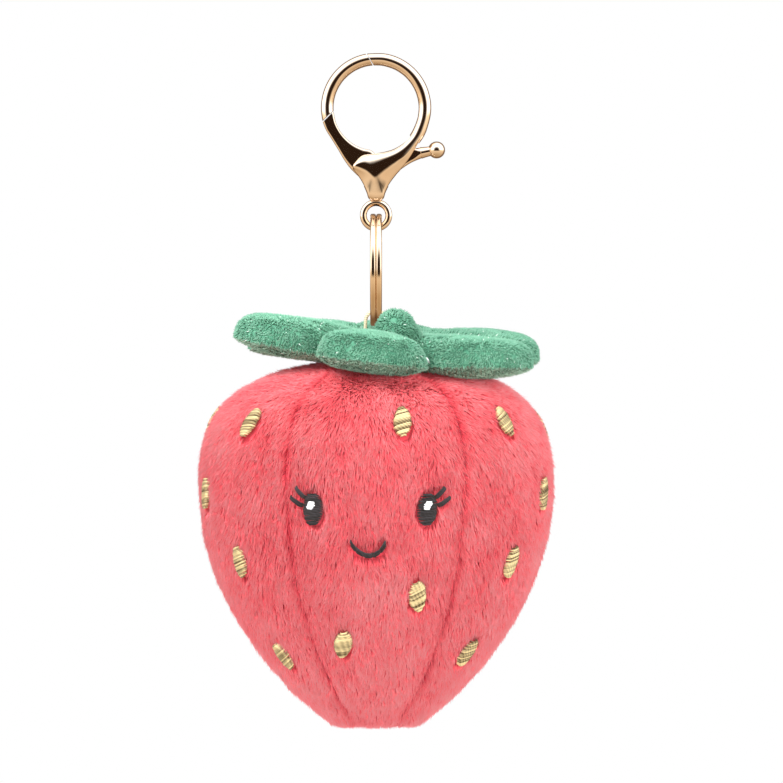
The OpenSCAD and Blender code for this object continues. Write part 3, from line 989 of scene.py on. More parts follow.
    def stitches(self) -> None:
        """A running stitch at the bottom of each seam: half-ellipse loops 2.6 mm long and 3 mm apart."""
        line = self.inset(400, self.seam_depth - 0.25)
        line = line[line[:, 0] > self.hole + 0.5]
        along = np.concatenate([[0], np.cumsum(np.linalg.norm(np.diff(line, axis=0), axis=1))])
        starts = np.arange(0.5, along[-1] - 3, 3.0)
        t = np.linspace(0, 1, 7)
        at = starts[:, None] + 2.6 * t
        lift = 0.3 * np.sin(math.pi * t)[None] - 0.15
        r, z = np.interp(at, along, line[:, 0]) + lift, np.interp(at, along, line[:, 1])
        azimuth = np.radians(np.arange(30, 390, 60))[:, None, None]
        height = np.broadcast_to(z, azimuth.shape[:1] + z.shape)
        paths = np.stack([r * np.sin(azimuth), -r * np.cos(azimuth), height], -1)
        across = np.stack([np.cos(azimuth), np.sin(azimuth), np.zeros_like(azimuth)], -1)
        grid = sweep(paths, across, 0.16 * circle(6)).reshape(-1, 7, 6, 3)
        tone = np.random.default_rng(9).random((len(grid), 1, 1)) * np.ones((1, 7, 6))
        loops = lattice(grid, values={"strand": tone})
        seams = make("seam_stitches", loops, Finishes.RED_THREAD, "plush")
        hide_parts("seam_threads")

    def filling(self) -> None:
        """The filling: the outline moved in by 3 mm, with lumps of noise."""
        line = self.inset(60, 3.0)[1:]
        azimuth = np.linspace(0, TAU, 96, endpoint=False)
        r, z = line[:, :1], np.repeat(line[:, 1:], 96, axis=1)
        grid = np.stack([r * np.sin(azimuth), -r * np.cos(azimuth), z], axis=-1)
        lumps = 0.35 * noise(grid, 6.0, 21)
        centre = np.array([0, 0, self.top - self.widest])
        grid = grid + unit(grid - centre) * (lumps[..., None] - 0.3)
        body = make("berry_filling", lattice(grid), Finishes.FILLING, "plush")
        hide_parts("berry_stuffing")


# ---------------------------------------------------------------- calyx and stem

LEAF_PILE = Pile(length=0.8, width=0.36, lean=42, ruffle=1.6, lock=0.9, pull=0.3)


@dataclass
class Calyx:
    """The padded star of six leaves, drooping over the berry, with its tack stitches."""

    z: float = -59.75
    thickness: float = 7.0
    tip: float = 36.0
    notch: float = 22.6
    hole: float = 3.3
    pitch: float = 6.0
    roll: float = 6.5
    turn: float = 24.0
    columns: int = 180
    droop: tuple[float, ...] = (2.2, -1.4, -3.4, 2.0, 2.0, 3.0)
    tips: tuple[float, ...] = (35.2, 34.0, 33.5, 33.8, 35.0, 36.0)
    share: float = 0.86
    shift: float = 2.0
    top_strands: int = 34000
    under_strands: int = 15000
    pressure: float = 3.0
    puff: float = 1.1

    def reach(self, azimuth: Array) -> Array:
        """The star's outline: notch + (tip - notch) * (1 - |a / 30 degrees| ^ 2.1), a from the leaf's middle."""
        from_first = np.degrees(azimuth) - self.turn + 30
        a = np.abs(from_first % 60 - 30) / 30
        tip = np.array(self.tips)[np.floor(from_first / 60).astype(int) % 6]
        return self.notch + (tip - self.notch) * (1 - a**2.1)

    def pad(self) -> tuple[Array, Array]:
        """The flat pad's upper and lower grid, from the hole's edge to the seam round the star.

        Height = 0.9 * thickness * sqrt(1 - q ^ 14) with q from the hole to the seam, less along the notches' lines
        and round the hole. The upper face takes its share of the height, so that the seam lies low.
        """
        azimuth = np.linspace(0, TAU, self.columns, endpoint=False)
        q = np.sin(np.linspace(0, 1, 20) * math.pi / 2)
        r = self.hole + (self.reach(azimuth)[None] - self.hole) * q[:, None]
        a = 30 - np.abs((np.degrees(azimuth) - self.turn + 30) % 60 - 30)
        pinch = 1 - 0.8 * np.exp(-((a[None] * r / 57.3 / 3.0) ** 2)) * step(q, 0.4, 0.95)[:, None]
        dip = 1 - 0.22 * np.exp(-((r / 8) ** 2))
        rise = 0.9 * self.thickness * np.sqrt(1 - q**14)[:, None] * pinch * dip
        flat = np.stack([r * np.cos(azimuth), r * np.sin(azimuth), np.zeros_like(r)], axis=-1)
        up = np.zeros_like(flat)
        up[..., 2] = rise
        flat[..., 2] = (0.5 - self.share) * self.thickness
        return flat + self.share * up, flat - (1 - self.share) * up

    def laid(self, grid: Array) -> Array:
        """Lets each leaf droop by its own amount times (r / tip) ^ 2, then tilts the star and lifts it to its place.

        Outside the hole the star also moves to the right by shift.
        """
        azimuth = np.degrees(np.arctan2(grid[..., 1], grid[..., 0]))
        r = np.linalg.norm(grid[..., :2], axis=-1)
        lobe = ((azimuth - self.turn) % 360) / 60
        low = np.floor(lobe).astype(int)
        f = step(lobe - low, 0.3, 0.7)
        drops = np.array(self.droop)
        drop = drops[low % 6] * (1 - f) + drops[(low + 1) % 6] * f
        bent = grid.copy()
        bent[..., 0] += self.shift * step(r, 6, 16)
        bent[..., 2] += drop * (r / self.tip) ** 2
        x, y = math.radians(self.pitch), math.radians(self.roll)
        tilt_x = np.array([[1, 0, 0], [0, math.cos(x), -math.sin(x)], [0, math.sin(x), math.cos(x)]])
        tilt_y = np.array([[math.cos(y), 0, math.sin(y)], [0, 1, 0], [-math.sin(y), 0, math.cos(y)]])
        return bent @ (tilt_y @ tilt_x).T + np.array([0, 0, self.z])

    def build(self) -> None:
        """Makes the two faces of the star, its pile, wadding and tacks."""
        upper, lower = self.pad()
        rows = len(upper)
        around = np.concatenate([upper, lower[-2:0:-1]])
        held = np.zeros(around.shape[:2], bool)
        held[:2] = held[-1:] = True
        a = 30 - np.abs((np.arange(self.columns) * 360 / self.columns - self.turn + 30) % 60 - 30)
        held[rows - 1, a < 2.5] = True
        closed = lattice(around, ring_rows=True)
        blown = inflate(closed, held.ravel(), self.pressure, self.puff).reshape(around.shape)
        upper = blown[:rows]
        lower = np.concatenate([lower[:1], blown[rows:][::-1], blown[rows - 1 : rows]])
        upper, lower = self.laid(self.fine(upper)), self.laid(self.fine(lower))
        self.face("calyx_top", upper, lower, Finishes.GREEN_PILE, "green_plush", self.top_strands, 1.0)
        # The underside takes a greyer copy of the green pile: painted shade under the leaves.
        self.face("calyx_underside", lower, upper, Finishes.GREEN_PILE_SHADED_UNDERSIDE, "green_backing", self.under_strands, -1.0)
        self.wadding(upper, lower)
        self.tacks(upper)

    @staticmethod
    def fine(grid: Array) -> Array:
        """Doubles the rows and columns by Catmull-Rom curves, with the last column joined to the first."""
        rows = between(grid, np.linspace(0, len(grid) - 1, 2 * len(grid) - 1))
        wide = np.concatenate([rows[:, -1:], rows, rows[:, :3]], axis=1).transpose(1, 0, 2)
        cols = grid.shape[1]
        return between(wide, 1 + np.arange(2 * cols) / 2).transpose(1, 0, 2)

    @staticmethod
    def face(name: str, near: Array, far: Array, finish: Finish, slot: str, count: int, way: float) -> None:
        """One face of the star: its outer skin, closed along the middle of the pad, and its pile.

        Args:
            name: The CAD node it replaces.
            near: This face's grid, hole to seam.
            far: The other face's grid.
            finish: Its material.
            slot: Not used.
            count: How many strands of pile.
            way: 1 for the upper face and -1 for the lower.
        """
        middle = (near + far) / 2
        back = between(middle, np.linspace(len(middle) - 1.6, 0.6, 8))
        grid = np.concatenate([near, back])
        tone = 0.3 + 0.3 * noise(grid, 0.9, 5)
        skin = lattice(grid, ring_rows=True, values={"along": np.full(grid.shape[:2], 0.25), "strand": tone})
        pad = make(f"{name}_skin", skin, finish, "plush")
        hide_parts(name)
        closed = np.concatenate([near, near[:, :1]], axis=1)
        roots, normal, nap, across = Field(closed).grown(count, 31)
        make(f"{name}_pile", LEAF_PILE.strands(roots, normal * way, nap, across, 32), finish, "plush")

    @staticmethod
    def wadding(upper: Array, lower: Array) -> None:
        """The wadding: both faces drawn in to 0.6 of the pad's thickness, and short of the hole and the seam."""
        middle = (upper + lower) / 2
        grids = [middle + 0.6 * (side - middle) for side in (upper, lower)]
        ring = np.concatenate([grids[0][2:-6:2], grids[1][-7:1:-2]])
        pad = make("calyx_filling", lattice(ring, ring_rows=True), Finishes.FILLING, "plush")
        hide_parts("calyx_wadding")

    def tacks(self, upper: Array) -> None:
        """Two crossed stitches of white thread at each notch, bowed over the pad's edge."""
        t = np.linspace(-1, 1, 7)
        paths = []
        for lobe in range(6):
            azimuth = math.radians(self.turn + 30 + 60 * lobe)
            column = int(round(azimuth % TAU / TAU * upper.shape[1])) % upper.shape[1]
            spot = upper[-9, column]
            out = np.array([math.cos(azimuth), math.sin(azimuth), 0])
            across = np.array([-math.sin(azimuth), math.cos(azimuth), 0])
            for angle in (-0.5, 0.55):
                way = out * math.cos(angle) + across * math.sin(angle)
                bow = np.array([0, 0, 1.0]) * (1.0 - 1.2 * t**2)[:, None]
                paths.append(spot + 1.15 * t[:, None] * way + bow)
        grid = sweep(np.array(paths), np.array([0.0, 0.0, 1.0]), 0.3 * circle(7))
        tone = np.random.default_rng(4).random((len(grid), 1, 1)) * np.ones((1, 7, 7))
        crosses = lattice(grid, values={"strand": tone})
        piece = make("calyx_tack_stitches", crosses, Finishes.WHITE_THREAD, "plush")
        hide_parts("calyx_tacks")


@dataclass
class Stem:
    """A stuffed stub that leans forward over the calyx."""

    foot: tuple[float, float, float] = (4.9, -9.4, -59.8)
    tip: tuple[float, float, float] = (4.2, -13.0, -56.6)
    radius: float = 4.6
    strands: int = 4200

    def capsule(self, inset: float) -> Array:
        """A blunt stub, wider below and uneven.

        Round its end the radii are 0.84 r sin(a) ^ 0.55, at heights 0.6 r cos(a) ^ 0.55.
        """
        foot, tip = np.array(self.foot), np.array(self.tip)
        axis = unit(tip - foot)
        side = unit(np.cross(axis, np.array([0.0, 1.0, 0.0])))
        up = np.cross(side, axis)
        r = self.radius - inset
        a = np.linspace(0.04, math.pi / 2, 14)
        radii = np.concatenate([0.84 * r * np.sin(a) ** 0.55, r * np.linspace(0.87, 1.12, 6)])
        heights = np.linalg.norm(tip - foot) + np.concatenate([0.6 * r * np.cos(a) ** 0.55, -np.linspace(0.8, 6, 6)])
        ring = circle(48)
        grid = foot + axis * heights[:, None, None] + radii[:, None, None] * (side * ring[:, :1] + up * ring[:, 1:])
        wobble = noise(grid, 3.2, 12) * 0.35
        return grid + unit(grid - (foot + axis * 2)) * wobble[..., None]

    def build(self) -> None:
        """Makes the cover, its pile and its filling."""
        grid = self.capsule(0.0)
        tone = 0.3 + 0.3 * noise(grid, 0.9, 6)
        skin = lattice(grid, values={"along": np.full(grid.shape[:2], 0.25), "strand": tone})
        cover = make("stem_skin", skin, Finishes.GREEN_PILE, "plush")
        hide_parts("stem_cover")
        closed = np.concatenate([grid, grid[:, :1]], axis=1)
        roots, normal, nap, across = Field(closed).grown(self.strands, 41)
        outward = np.sign(np.sum(normal * (roots - np.array(self.foot)), axis=1, keepdims=True))
        fur = LEAF_PILE.strands(roots, normal * outward, nap, across, 42)
        make("stem_pile", fur, Finishes.GREEN_PILE, "plush")
        core = make("stem_filling", lattice(self.capsule(1.2)), Finishes.FILLING, "plush")
        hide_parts("stem_stuffing")


# ---------------------------------------------------------------- embroidery


@dataclass
class Embroidery:
    """Seeds and face: satin stitches laid side by side on the berry."""

    berry: Berry
    seed_length: float = 6.8
    seed_width: float = 3.9
    eye_width: float = 4.4
    eye_height: float = 6.6
    eye_drop: float = 31.3
    eye_azimuths: tuple[float, float] = (-19.8, 16.3)
    seeds: tuple[tuple[float, float, float], ...] = (
        (-47, 13.4, 12), (9, 13.1, 0), (49, 13.0, -10), (-69, 28.5, 10), (67, 28.5, 0), (-52, 42.8, 0),
        (52, 42.7, 0), (15, 49.4, -14), (-14, 59.7, 11), (-49, 62.8, -10), (47, 62.0, 0), (102, 14, 6),
        (154, 13, -8), (-154, 14, 8), (-101, 13, 0), (126, 29, -8), (-128, 28, 6), (178, 30, 4),
        (106, 45, 8), (-108, 44, -6), (160, 47, -6), (-160, 60, 8), (118, 62, 4),
    )

    def marks(self) -> list[Mark]:
        """Every embroidered place, for the pile to keep free."""
        found = [Mark(a, d, lean, self.seed_width / 2, self.seed_length / 2) for a, d, lean in self.seeds]
        for azimuth, out in zip(self.eye_azimuths, (-1, 1)):
            found.append(Mark(azimuth, self.eye_drop, 0, self.eye_width / 2, self.eye_height / 2))
            for k in (0, 1):
                found.append(self.lash_mark(azimuth, out, k))
        found.append(Mark(-6.6, 38.7, -38, 0.7, 1.9))
        found.append(Mark(-2.3, 40.4, 90, 0.8, 3.4))
        found.append(Mark(2.0, 38.7, 38, 0.7, 1.9))
        return found

    def lash_mark(self, azimuth: float, out: int, k: int) -> Mark:
        """The place of one eyelash: its middle, and its lean from upright."""
        right, up = out * (2.6 + 1.0 * k), 3.5 - 1.8 * k
        return Mark(azimuth + math.degrees(right / 38.5), self.eye_drop - up, out * (45 + 11 * k), 0.5, 1.7)

    def stitches(self, mark: Mark, ends: Array, height: float, thread: float, seed: int) -> tuple[Array, Array]:
        """Lays threads over a mark, each bowed: out = height * (1 - t ^ 4) - 0.5 * t ^ 8, t from -1 to 1.

        Args:
            mark: Where the threads lie.
            ends: Shape (threads, 2, 2), the two ends (right, up) of each.
            height: How far the threads' middle stands out.
            thread: The threads' radius.
            seed: Picks the random numbers.

        Returns:
            The threads' grids and their tones.
        """
        rng = np.random.default_rng(seed)
        t = np.linspace(-1, 1, 9)
        ends = ends + rng.normal(0, 0.05, ends.shape)
        flat = ends[:, :1] * (0.5 - t / 2)[None, :, None] + ends[:, 1:] * (0.5 + t / 2)[None, :, None]
        out = height * (1 - t**4)[None] - 0.5 * (t**8)[None] + rng.normal(0, 0.03, (len(ends), 1))
        local = np.concatenate([flat, out[..., None]], axis=-1)
        path = self.berry.place(mark, local)
        above = self.berry.place(mark, local + np.array([0, 0, 1.0]))
        taper = np.sqrt(np.clip(1 - 0.75 * t**6, 0.1, 1))[None, :, None, None]
        grid = sweep(path, above - path, thread * circle(6) * taper)
        tone = rng.random((len(ends), 1, 1)) * np.ones(grid.shape[1:3])
        return grid, tone

    def satin(
        self,
        mark: Mark,
        half: Callable[[Array], Array],
        height: float,
        pitch: float,
        slant: float,
        seed: int,
        bow: float = 0.35,
    ) -> tuple[Array, Array]:
        """Fills a shape with threads across it, pitch apart.

        Args:
            mark: Where it lies.
            half: Gives the half width at a distance up from the middle.
            height: How long the shape is.
            pitch: The spacing of the threads.
            slant: How much a thread rises from left to right, as a share of its width.
            seed: Picks the random numbers.
            bow: How far the threads stand out.

        Returns:
            Grids and tones.
        """
        up = np.arange(-height / 2 + pitch * 0.7, height / 2 - pitch * 0.3, pitch)
        wide = half(up)
        left = np.stack([-wide, up - slant * wide], axis=-1)
        right = np.stack([wide, up + slant * wide], axis=-1)
        return self.stitches(mark, np.stack([left, right], axis=1), bow, pitch * 0.62, seed)

    @staticmethod
    def oval(half_width: float, half_height: float, power: float, root: float) -> Callable[[Array], Array]:
        """The half width at v above the middle: half_width * (1 - |v / half_height| ^ power) ^ root."""
        return lambda v: half_width * (1 - np.abs(v / half_height) ** power) ** root

    def piece(self, name: str, parts: list[tuple[Array, Array]], finish: Finish, slot: str) -> None:
        """Joins threads into one piece, which replaces the CAD node of that name."""
        patches = [lattice(grid, values={"strand": tone}) for grid, tone in parts]
        made = make(f"{name}_stitching", merge(*patches), finish, "plush")
        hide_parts(name)

    def build(self) -> None:
        """Makes the seeds, eyes, glints, lashes and mouth."""
        half_l, half_w = self.seed_length / 2, self.seed_width / 2
        for number, (azimuth, drop, lean) in enumerate(self.seeds, 1):
            mark = Mark(azimuth, drop, lean, half_w, half_l)
            grain = self.satin(mark, self.oval(half_w, half_l, 2.2, 0.6), self.seed_length, 0.33, 0.3, number, 0.2)
            self.piece(f"seed_{number}", [grain], Finishes.GOLD_THREAD, "gold_thread")
        eye_shape = self.oval(self.eye_width / 2, self.eye_height / 2, 2.4, 0.5)
        for side, azimuth, out in (("left", self.eye_azimuths[0], -1), ("right", self.eye_azimuths[1], 1)):
            eye = Mark(azimuth, self.eye_drop, 0, 0, 0)
            black = self.satin(eye, eye_shape, self.eye_height, 0.34, 0.12, 50 + out)
            self.piece(f"{side}_eye", [black], Finishes.BLACK_THREAD, "black_thread")
            glint = Mark(azimuth - 0.2, self.eye_drop - 0.9, 20, 0, 0)
            white = self.satin(glint, self.oval(0.85, 1.0, 2, 0.5), 1.9, 0.34, 0.3, 60 + out, 0.68)
            self.piece(f"{side}_glint", [white], Finishes.WHITE_THREAD, "white_thread")
            lashes = []
            for k in (0, 1):
                mark = self.lash_mark(azimuth, out, k)
                x = np.array([-0.28, 0.0, 0.28])
                root, tip = np.stack([x, np.full(3, -1.7)], -1), np.stack([x * 0.6, np.full(3, 1.6)], -1)
                ends = np.stack([root, tip], axis=1)
                lashes.append(self.stitches(mark, ends, 0.5, 0.25, 70 + k + out))
            self.piece(f"{side}_lashes", lashes, Finishes.BLACK_THREAD, "black_thread")
        smile = np.array([[-3.6, 2.4], [-2.5, 0.9], [-0.9, -0.2], [0.9, -0.35], [2.4, 0.6], [3.6, 2.3]])
        mark = Mark(-2.3, 40.4, 0, 0, 0)
        shift = np.array([[0, -0.3], [0, 0.0], [0, 0.3]])
        ends = np.concatenate([np.stack([smile[:-1], smile[1:]], axis=1) + s for s in shift])
        self.piece("mouth", [self.stitches(mark, ends, 0.5, 0.27, 90)], Finishes.BLACK_THREAD, "black_thread")


# ---------------------------------------------------------------- clasp


@dataclass
class Clasp:
    """The cast lobster clasp: hook and cheeks, hook tip and gate lever.

    The hook is a round wire of the given radius round a ring whose inner top is the origin. Azimuths are in degrees
    from the right, anticlockwise, and a seam's lean is the direction of its cut.
    """

    ring: float
    wire: float
    eye_z: float
    neck_z: float = -28.8
    eye: float = 2.0
    eye_wire: float = 1.45
    seam_azimuth: float = 97.0
    seam_lean: float = 120.0
    gate_azimuth: float = 189.5
    gate_lean: float = 43.7
    gap: float = 0.13

    @classmethod
    def packed(cls) -> "Clasp":
        """A clasp whose ring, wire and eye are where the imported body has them."""
        low, high = corners_of("clasp_body")
        return cls(ring=round(high[0] - high[2], 2), wire=high[2] / 2, eye_z=round(low[2] + cls.eye + cls.eye_wire, 2))

    def on_ring(self, azimuth: Array, radius: Array) -> Array:
        """Points (x, z) at an azimuth in degrees and a distance from the ring's centre."""
        a = np.radians(azimuth)
        return np.stack([radius * np.cos(a), -self.ring + radius * np.sin(a)], axis=-1)

    def seam(self, azimuth: float, lean: float, gap: float, radius: Array) -> Array:
        """The azimuth at which a circle of that radius meets a seam's line, to first order about the wire's middle."""
        middle = self.ring + self.wire
        skew = math.radians(lean - azimuth)
        return azimuth + np.degrees((radius - middle) * math.tan(skew) / middle) + math.degrees(gap / middle)

    def hook_tip(self) -> None:
        """The tip: a round wire along the ring, its columns cut at each seam's slanting plane."""
        ring = circle(28)
        radius = self.ring + self.wire - self.wire * ring[:, 0]
        start = self.seam(self.seam_azimuth, self.seam_lean, 0.14, radius)
        end = self.seam(self.gate_azimuth, self.gate_lean, -self.gap, radius)
        t = np.linspace(0, 1, 60)[:, None]
        azimuth = start + (end - start) * t
        flat = self.on_ring(azimuth, np.broadcast_to(radius, azimuth.shape))
        depth = np.broadcast_to(self.wire * ring[:, 1], azimuth.shape)
        grid = np.stack([flat[..., 0], depth, flat[..., 1]], axis=-1)
        piece = make("hook_tip_casting", lattice(grid), Finishes.GOLD, "clasp", sharp=40)
        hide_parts("hook_tip")

    def stations(self) -> tuple[Array, Array, Array, Array, Array]:
        """Knots along the body from the top seam to the nose.

        Returns:
            Inner edge, crease and outer edge (x, z), the crest's depth, and how much the section is a cheek.
        """
        mid = self.ring + self.wire
        radii = np.array([self.ring, mid + 0.7071 * self.wire, mid + self.wire])
        first = self.seam(self.seam_azimuth, self.seam_lean, -0.14, radii)
        lines = []
        for start, radius in zip(first, radii):
            azimuths = (start, 80.0, 62.0, 44.0, 26.0, 9.0, -6.0)
            lines.append(np.array([self.on_ring(azimuth, radius) for azimuth in azimuths]))
        cheeks = np.array(
            [
                [[8.55, -12.2], [10.55, -13.2], [11.0, -13.4]],
                [[7.3, -14.75], [9.5, -15.4], [10.2, -15.3]],
                [[5.6, -16.55], [7.9, -17.6], [8.8, -17.3]],
                [[3.6, -17.75], [6.1, -19.6], [7.5, -19.4]],
                [[1.9, -18.25], [4.3, -21.1], [6.07, -21.5]],
                [[0.6, -18.42], [2.6, -22.4], [4.3, -23.55]],
                [[-0.1, -18.5], [1.4, -23.3], [2.9, -25.5]],
                [[-0.6, -18.52], [0.6, -23.9], [2.05, -27.2]],
                [[-0.95, -18.55], [0.1, -24.3], [1.5, -28.6]],
                [[-1.3, -18.6], [-0.3, -24.45], [0.0, -29.1]],
                [[-1.6, -18.65], [-0.7, -24.3], [-1.5, -28.6]],
                [[-2.0, -18.75], [-1.3, -23.8], [-2.05, -27.2]],
                [[-2.5, -18.9], [-2.1, -23.2], [-2.9, -25.3]],
                [[-3.1, -19.2], [-3.0, -22.8], [-3.8, -23.8]],
                [[-3.8, -19.8], [-3.9, -22.4], [-4.5, -22.9]],
                [[-4.4, -20.5], [-4.6, -22.1], [-4.9, -22.4]],
                [[-5.0, -21.3], [-5.05, -21.7], [-5.1, -21.9]],
            ]
        )
        inner, crease, outer = (np.concatenate([line, cheeks[:, n]]) for n, line in enumerate(lines))
        depth = [self.wire] * 7 + [1.42, 1.6, 1.95, 2.3, 2.45] + [2.5] * 9 + [2.45, 2.3, 1.9]
        cheek = [0.0] * 7 + [0.2, 0.5, 0.85] + [1.0] * 14
        return inner, crease, outer, np.array(depth), np.array(cheek)

    def body(self) -> None:
        """Hook and cheeks: a band whose front is a round bulge from the inner edge to a crease, then a flatter flank.

        On the hook the section is a circle. On the cheeks the bulge is an arc of 135 degrees, flattened past its
        crest, and the flank's depth is (0.92 - 0.32 w) * sqrt(1 - w ^ 20), w from the crease to the outer edge.
        The back mirrors the front, and a slot for the lever is cut between them. The eye is a torus below.
        """
        inner, crease, outer, depth, cheek = (between(k, np.linspace(0, len(k) - 1, 200)) for k in self.stations())
        v = np.linspace(0, 1, 33)
        psi = math.pi * v
        part = psi / (0.75 * math.pi)
        tube_w, tube_d = (1 - np.cos(psi)) / 2, np.sin(psi)
        psi_a = np.minimum(psi, 0.75 * math.pi)
        bulge_w = (1 - np.cos(psi_a)) / (1 - math.cos(0.75 * math.pi))
        hump = np.sin(psi_a)
        floor = math.sin(0.75 * math.pi)
        bulge_d = np.where(psi_a < math.pi / 2, hump, 1 - 0.08 * (1 - hump) / (1 - floor))
        flank_w = np.sin(np.clip((part - 1) / (1 / 0.75 - 1), 0, 1) * math.pi / 2)
        flank_d = (0.92 - 0.32 * flank_w) * np.sqrt(1 - flank_w**20)
        is_bulge = (part <= 1)[None]
        cheek_d = np.where(is_bulge, bulge_d[None], flank_d[None])
        tube_points = inner[:, None] + (outer - inner)[:, None] * tube_w[None, :, None]
        cheek_points = np.where(
            is_bulge[..., None],
            inner[:, None] + (crease - inner)[:, None] * bulge_w[None, :, None],
            crease[:, None] + (outer - crease)[:, None] * flank_w[None, :, None],
        )
        share = cheek[:, None]
        flat = tube_points * (1 - share[..., None]) + cheek_points * share[..., None]
        y = depth[:, None] * (tube_d[None] * (1 - share) + cheek_d * share)
        s = np.linspace(0, 1, len(inner))[:, None]
        y = y * np.sqrt(np.clip(1 - step(s, 0.975, 1.0) ** 2 * 0.9, 0, 1))
        front = np.stack([flat[..., 0], -y, flat[..., 1]], axis=-1)
        back = np.stack([flat[..., 0], y, flat[..., 1]], axis=-1)[:, -2:0:-1]
        cast = lattice(np.concatenate([front, back], axis=1))
        piece = make("clasp_body_casting", cast, Finishes.GOLD, None)
        self.cut(piece, self.slot())
        piece.data.shade_smooth()
        piece.data.set_sharp_from_angle(angle=math.radians(38))
        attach(piece, "clasp")
        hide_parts("clasp_body")
        eye = circle(40)
        wire = circle(20) * self.eye_wire / 2
        mid = self.eye + self.eye_wire / 2
        around = np.stack([mid * eye[:, 0], np.zeros(40), self.eye_z + mid * eye[:, 1]], axis=-1)
        radial = np.stack([eye[:, 0], np.zeros(40), eye[:, 1]], axis=-1)
        loop = around[:, None] + radial[:, None] * wire[None, :, :1] + np.array([0, 1, 0]) * wire[None, :, 1:]
        make("clasp_eye_casting", lattice(loop, ring_rows=True), Finishes.GOLD, "clasp")

    def slot(self) -> Patch:
        """The lever's slot: a prism 2.5 mm deep, open at the left, the top and the lower right."""
        floor, half = self.neck_z + 2.9, 1.25
        outline = np.array(
            [[-14, floor], [14, floor], [14, -16.6], [8.6, -16.6], [6.6, -14.2], [4.0, -12.0], [-14, -12.0]]
        )
        ring = np.stack([outline[:, 0], np.zeros(7), outline[:, 1]], axis=-1)
        grid = np.stack([ring + np.array([0, y, 0]) for y in (-half, half)])
        return lattice(grid)

    @staticmethod
    def cut(piece: bpy.types.Object, tool: Patch) -> None:
        """Takes a closed patch away from a piece, with an exact boolean that is applied at once."""
        mesh = bpy.data.meshes.new("cutter")
        mesh.from_pydata((tool.points * MM).tolist(), [], [tuple(f) for face in tool.faces for f in face.tolist()])
        cutter = bpy.data.objects.new("cutter", mesh)
        bpy.context.scene.collection.objects.link(cutter)
        change = piece.modifiers.new("slot", "BOOLEAN")
        change.operation, change.object, change.solver = "DIFFERENCE", cutter, "EXACT"
        bpy.context.view_layer.update()
        result = bpy.data.meshes.new_from_object(piece.evaluated_get(bpy.context.evaluated_depsgraph_get()))
        piece.modifiers.clear()
        materials = list(piece.data.materials)
        piece.data = result
        result.materials.clear()
        for material in materials:
            result.materials.append(material)
        bpy.data.objects.remove(cutter)

    def lever(self) -> None:
        """The gate lever: a flat bar with rounded edges that runs from the gate to the hub and on to the ball knob.

        Each station has its own two edge points and thickness; near the knob the bar turns round and ends in a ball.
        """
        r_in, r_out = self.ring + 0.05, self.ring + 2 * self.wire
        ends = self.seam(self.gate_azimuth, self.gate_lean, self.gap, np.array([r_in, r_out]))
        arm = [self.on_ring(azimuth, r_in) for azimuth in (ends[0], 200, 212, 224, 238, 252)]
        inner = np.array(arm + [[-0.9, -18.3], [1.6, -20.4], [4.6, -19.4], [7.6, -18.0], [9.4, -17.6]])
        edge = [[-10.7, -13.9], [-9.45, -15.9], [-8.1, -18.1], [-6.6, -20.6], [-4.9, -22.7]]
        edge += [[-2.4, -24.7], [0.6, -25.3], [3.8, -23.3], [7.2, -21.0], [9.7, -19.9]]
        outer = np.array([self.on_ring(ends[1], r_out)] + edge)
        thick = np.array([2.3] * 9 + [2.2, 2.1])
        a, b, t = (between(line, np.linspace(0, 10, 110)) for line in (inner, outer, thick))
        knob = np.array([12.95, -18.1])
        root = (a[-1] + b[-1]) / 2
        way = unit(knob - root)
        cross = np.array([way[1], -way[0]])
        neck = np.linspace(0, 1, 26)[1:]
        reach = np.linalg.norm(knob - root) - 1.5
        necks = root + way * (reach * neck)[:, None]
        radius = 1.05 + 0.2 * (1 - neck) ** 1.5
        psi = np.linspace(math.radians(34), math.pi - 0.08, 22)
        balls = knob - way * (1.82 * np.cos(psi))[:, None]
        middles = np.concatenate([(a + b) / 2, necks, balls])
        halves = np.concatenate([np.linalg.norm(a - b, axis=1) / 2, radius, 1.82 * np.sin(psi)])
        deep = np.concatenate([t / 2, radius, 1.82 * np.sin(psi)])
        axes = np.concatenate([unit(a - b), np.repeat(-cross[None], 25 + 22, axis=0)])
        turn = np.concatenate([np.zeros(100), step(np.arange(10.0), 0, 9), np.ones(25 + 22)])
        section = self.section(halves, deep, turn)
        side = np.stack([axes[:, 0], np.zeros(len(axes)), axes[:, 1]], axis=-1)
        path = np.stack([middles[:, 0], np.zeros(len(middles)), middles[:, 1]], axis=-1)
        grid = path[:, None] + side[:, None] * section[..., :1] + np.array([0, 1, 0]) * section[..., 1:]
        piece = make("gate_lever_casting", lattice(grid), Finishes.GOLD, "gate", sharp=36)
        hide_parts("gate_lever")

    @staticmethod
    def section(half: Array, deep: Array, turn: Array) -> Array:
        """A rounded rectangle that turns into an ellipse: (cos a ^ n, sin a ^ n), n from 0.36 to 1 by turn."""
        ring = circle(32)
        power = (0.36 + 0.64 * turn)[:, None]
        x = np.sign(ring[:, 0]) * np.abs(ring[:, 0]) ** power
        y = np.sign(ring[:, 1]) * np.abs(ring[:, 1]) ** power
        return np.stack([x * half[:, None], y * deep[:, None]], axis=-1)

    def build(self) -> None:
        """Makes the castings."""
        self.body()
        self.hook_tip()
        self.lever()


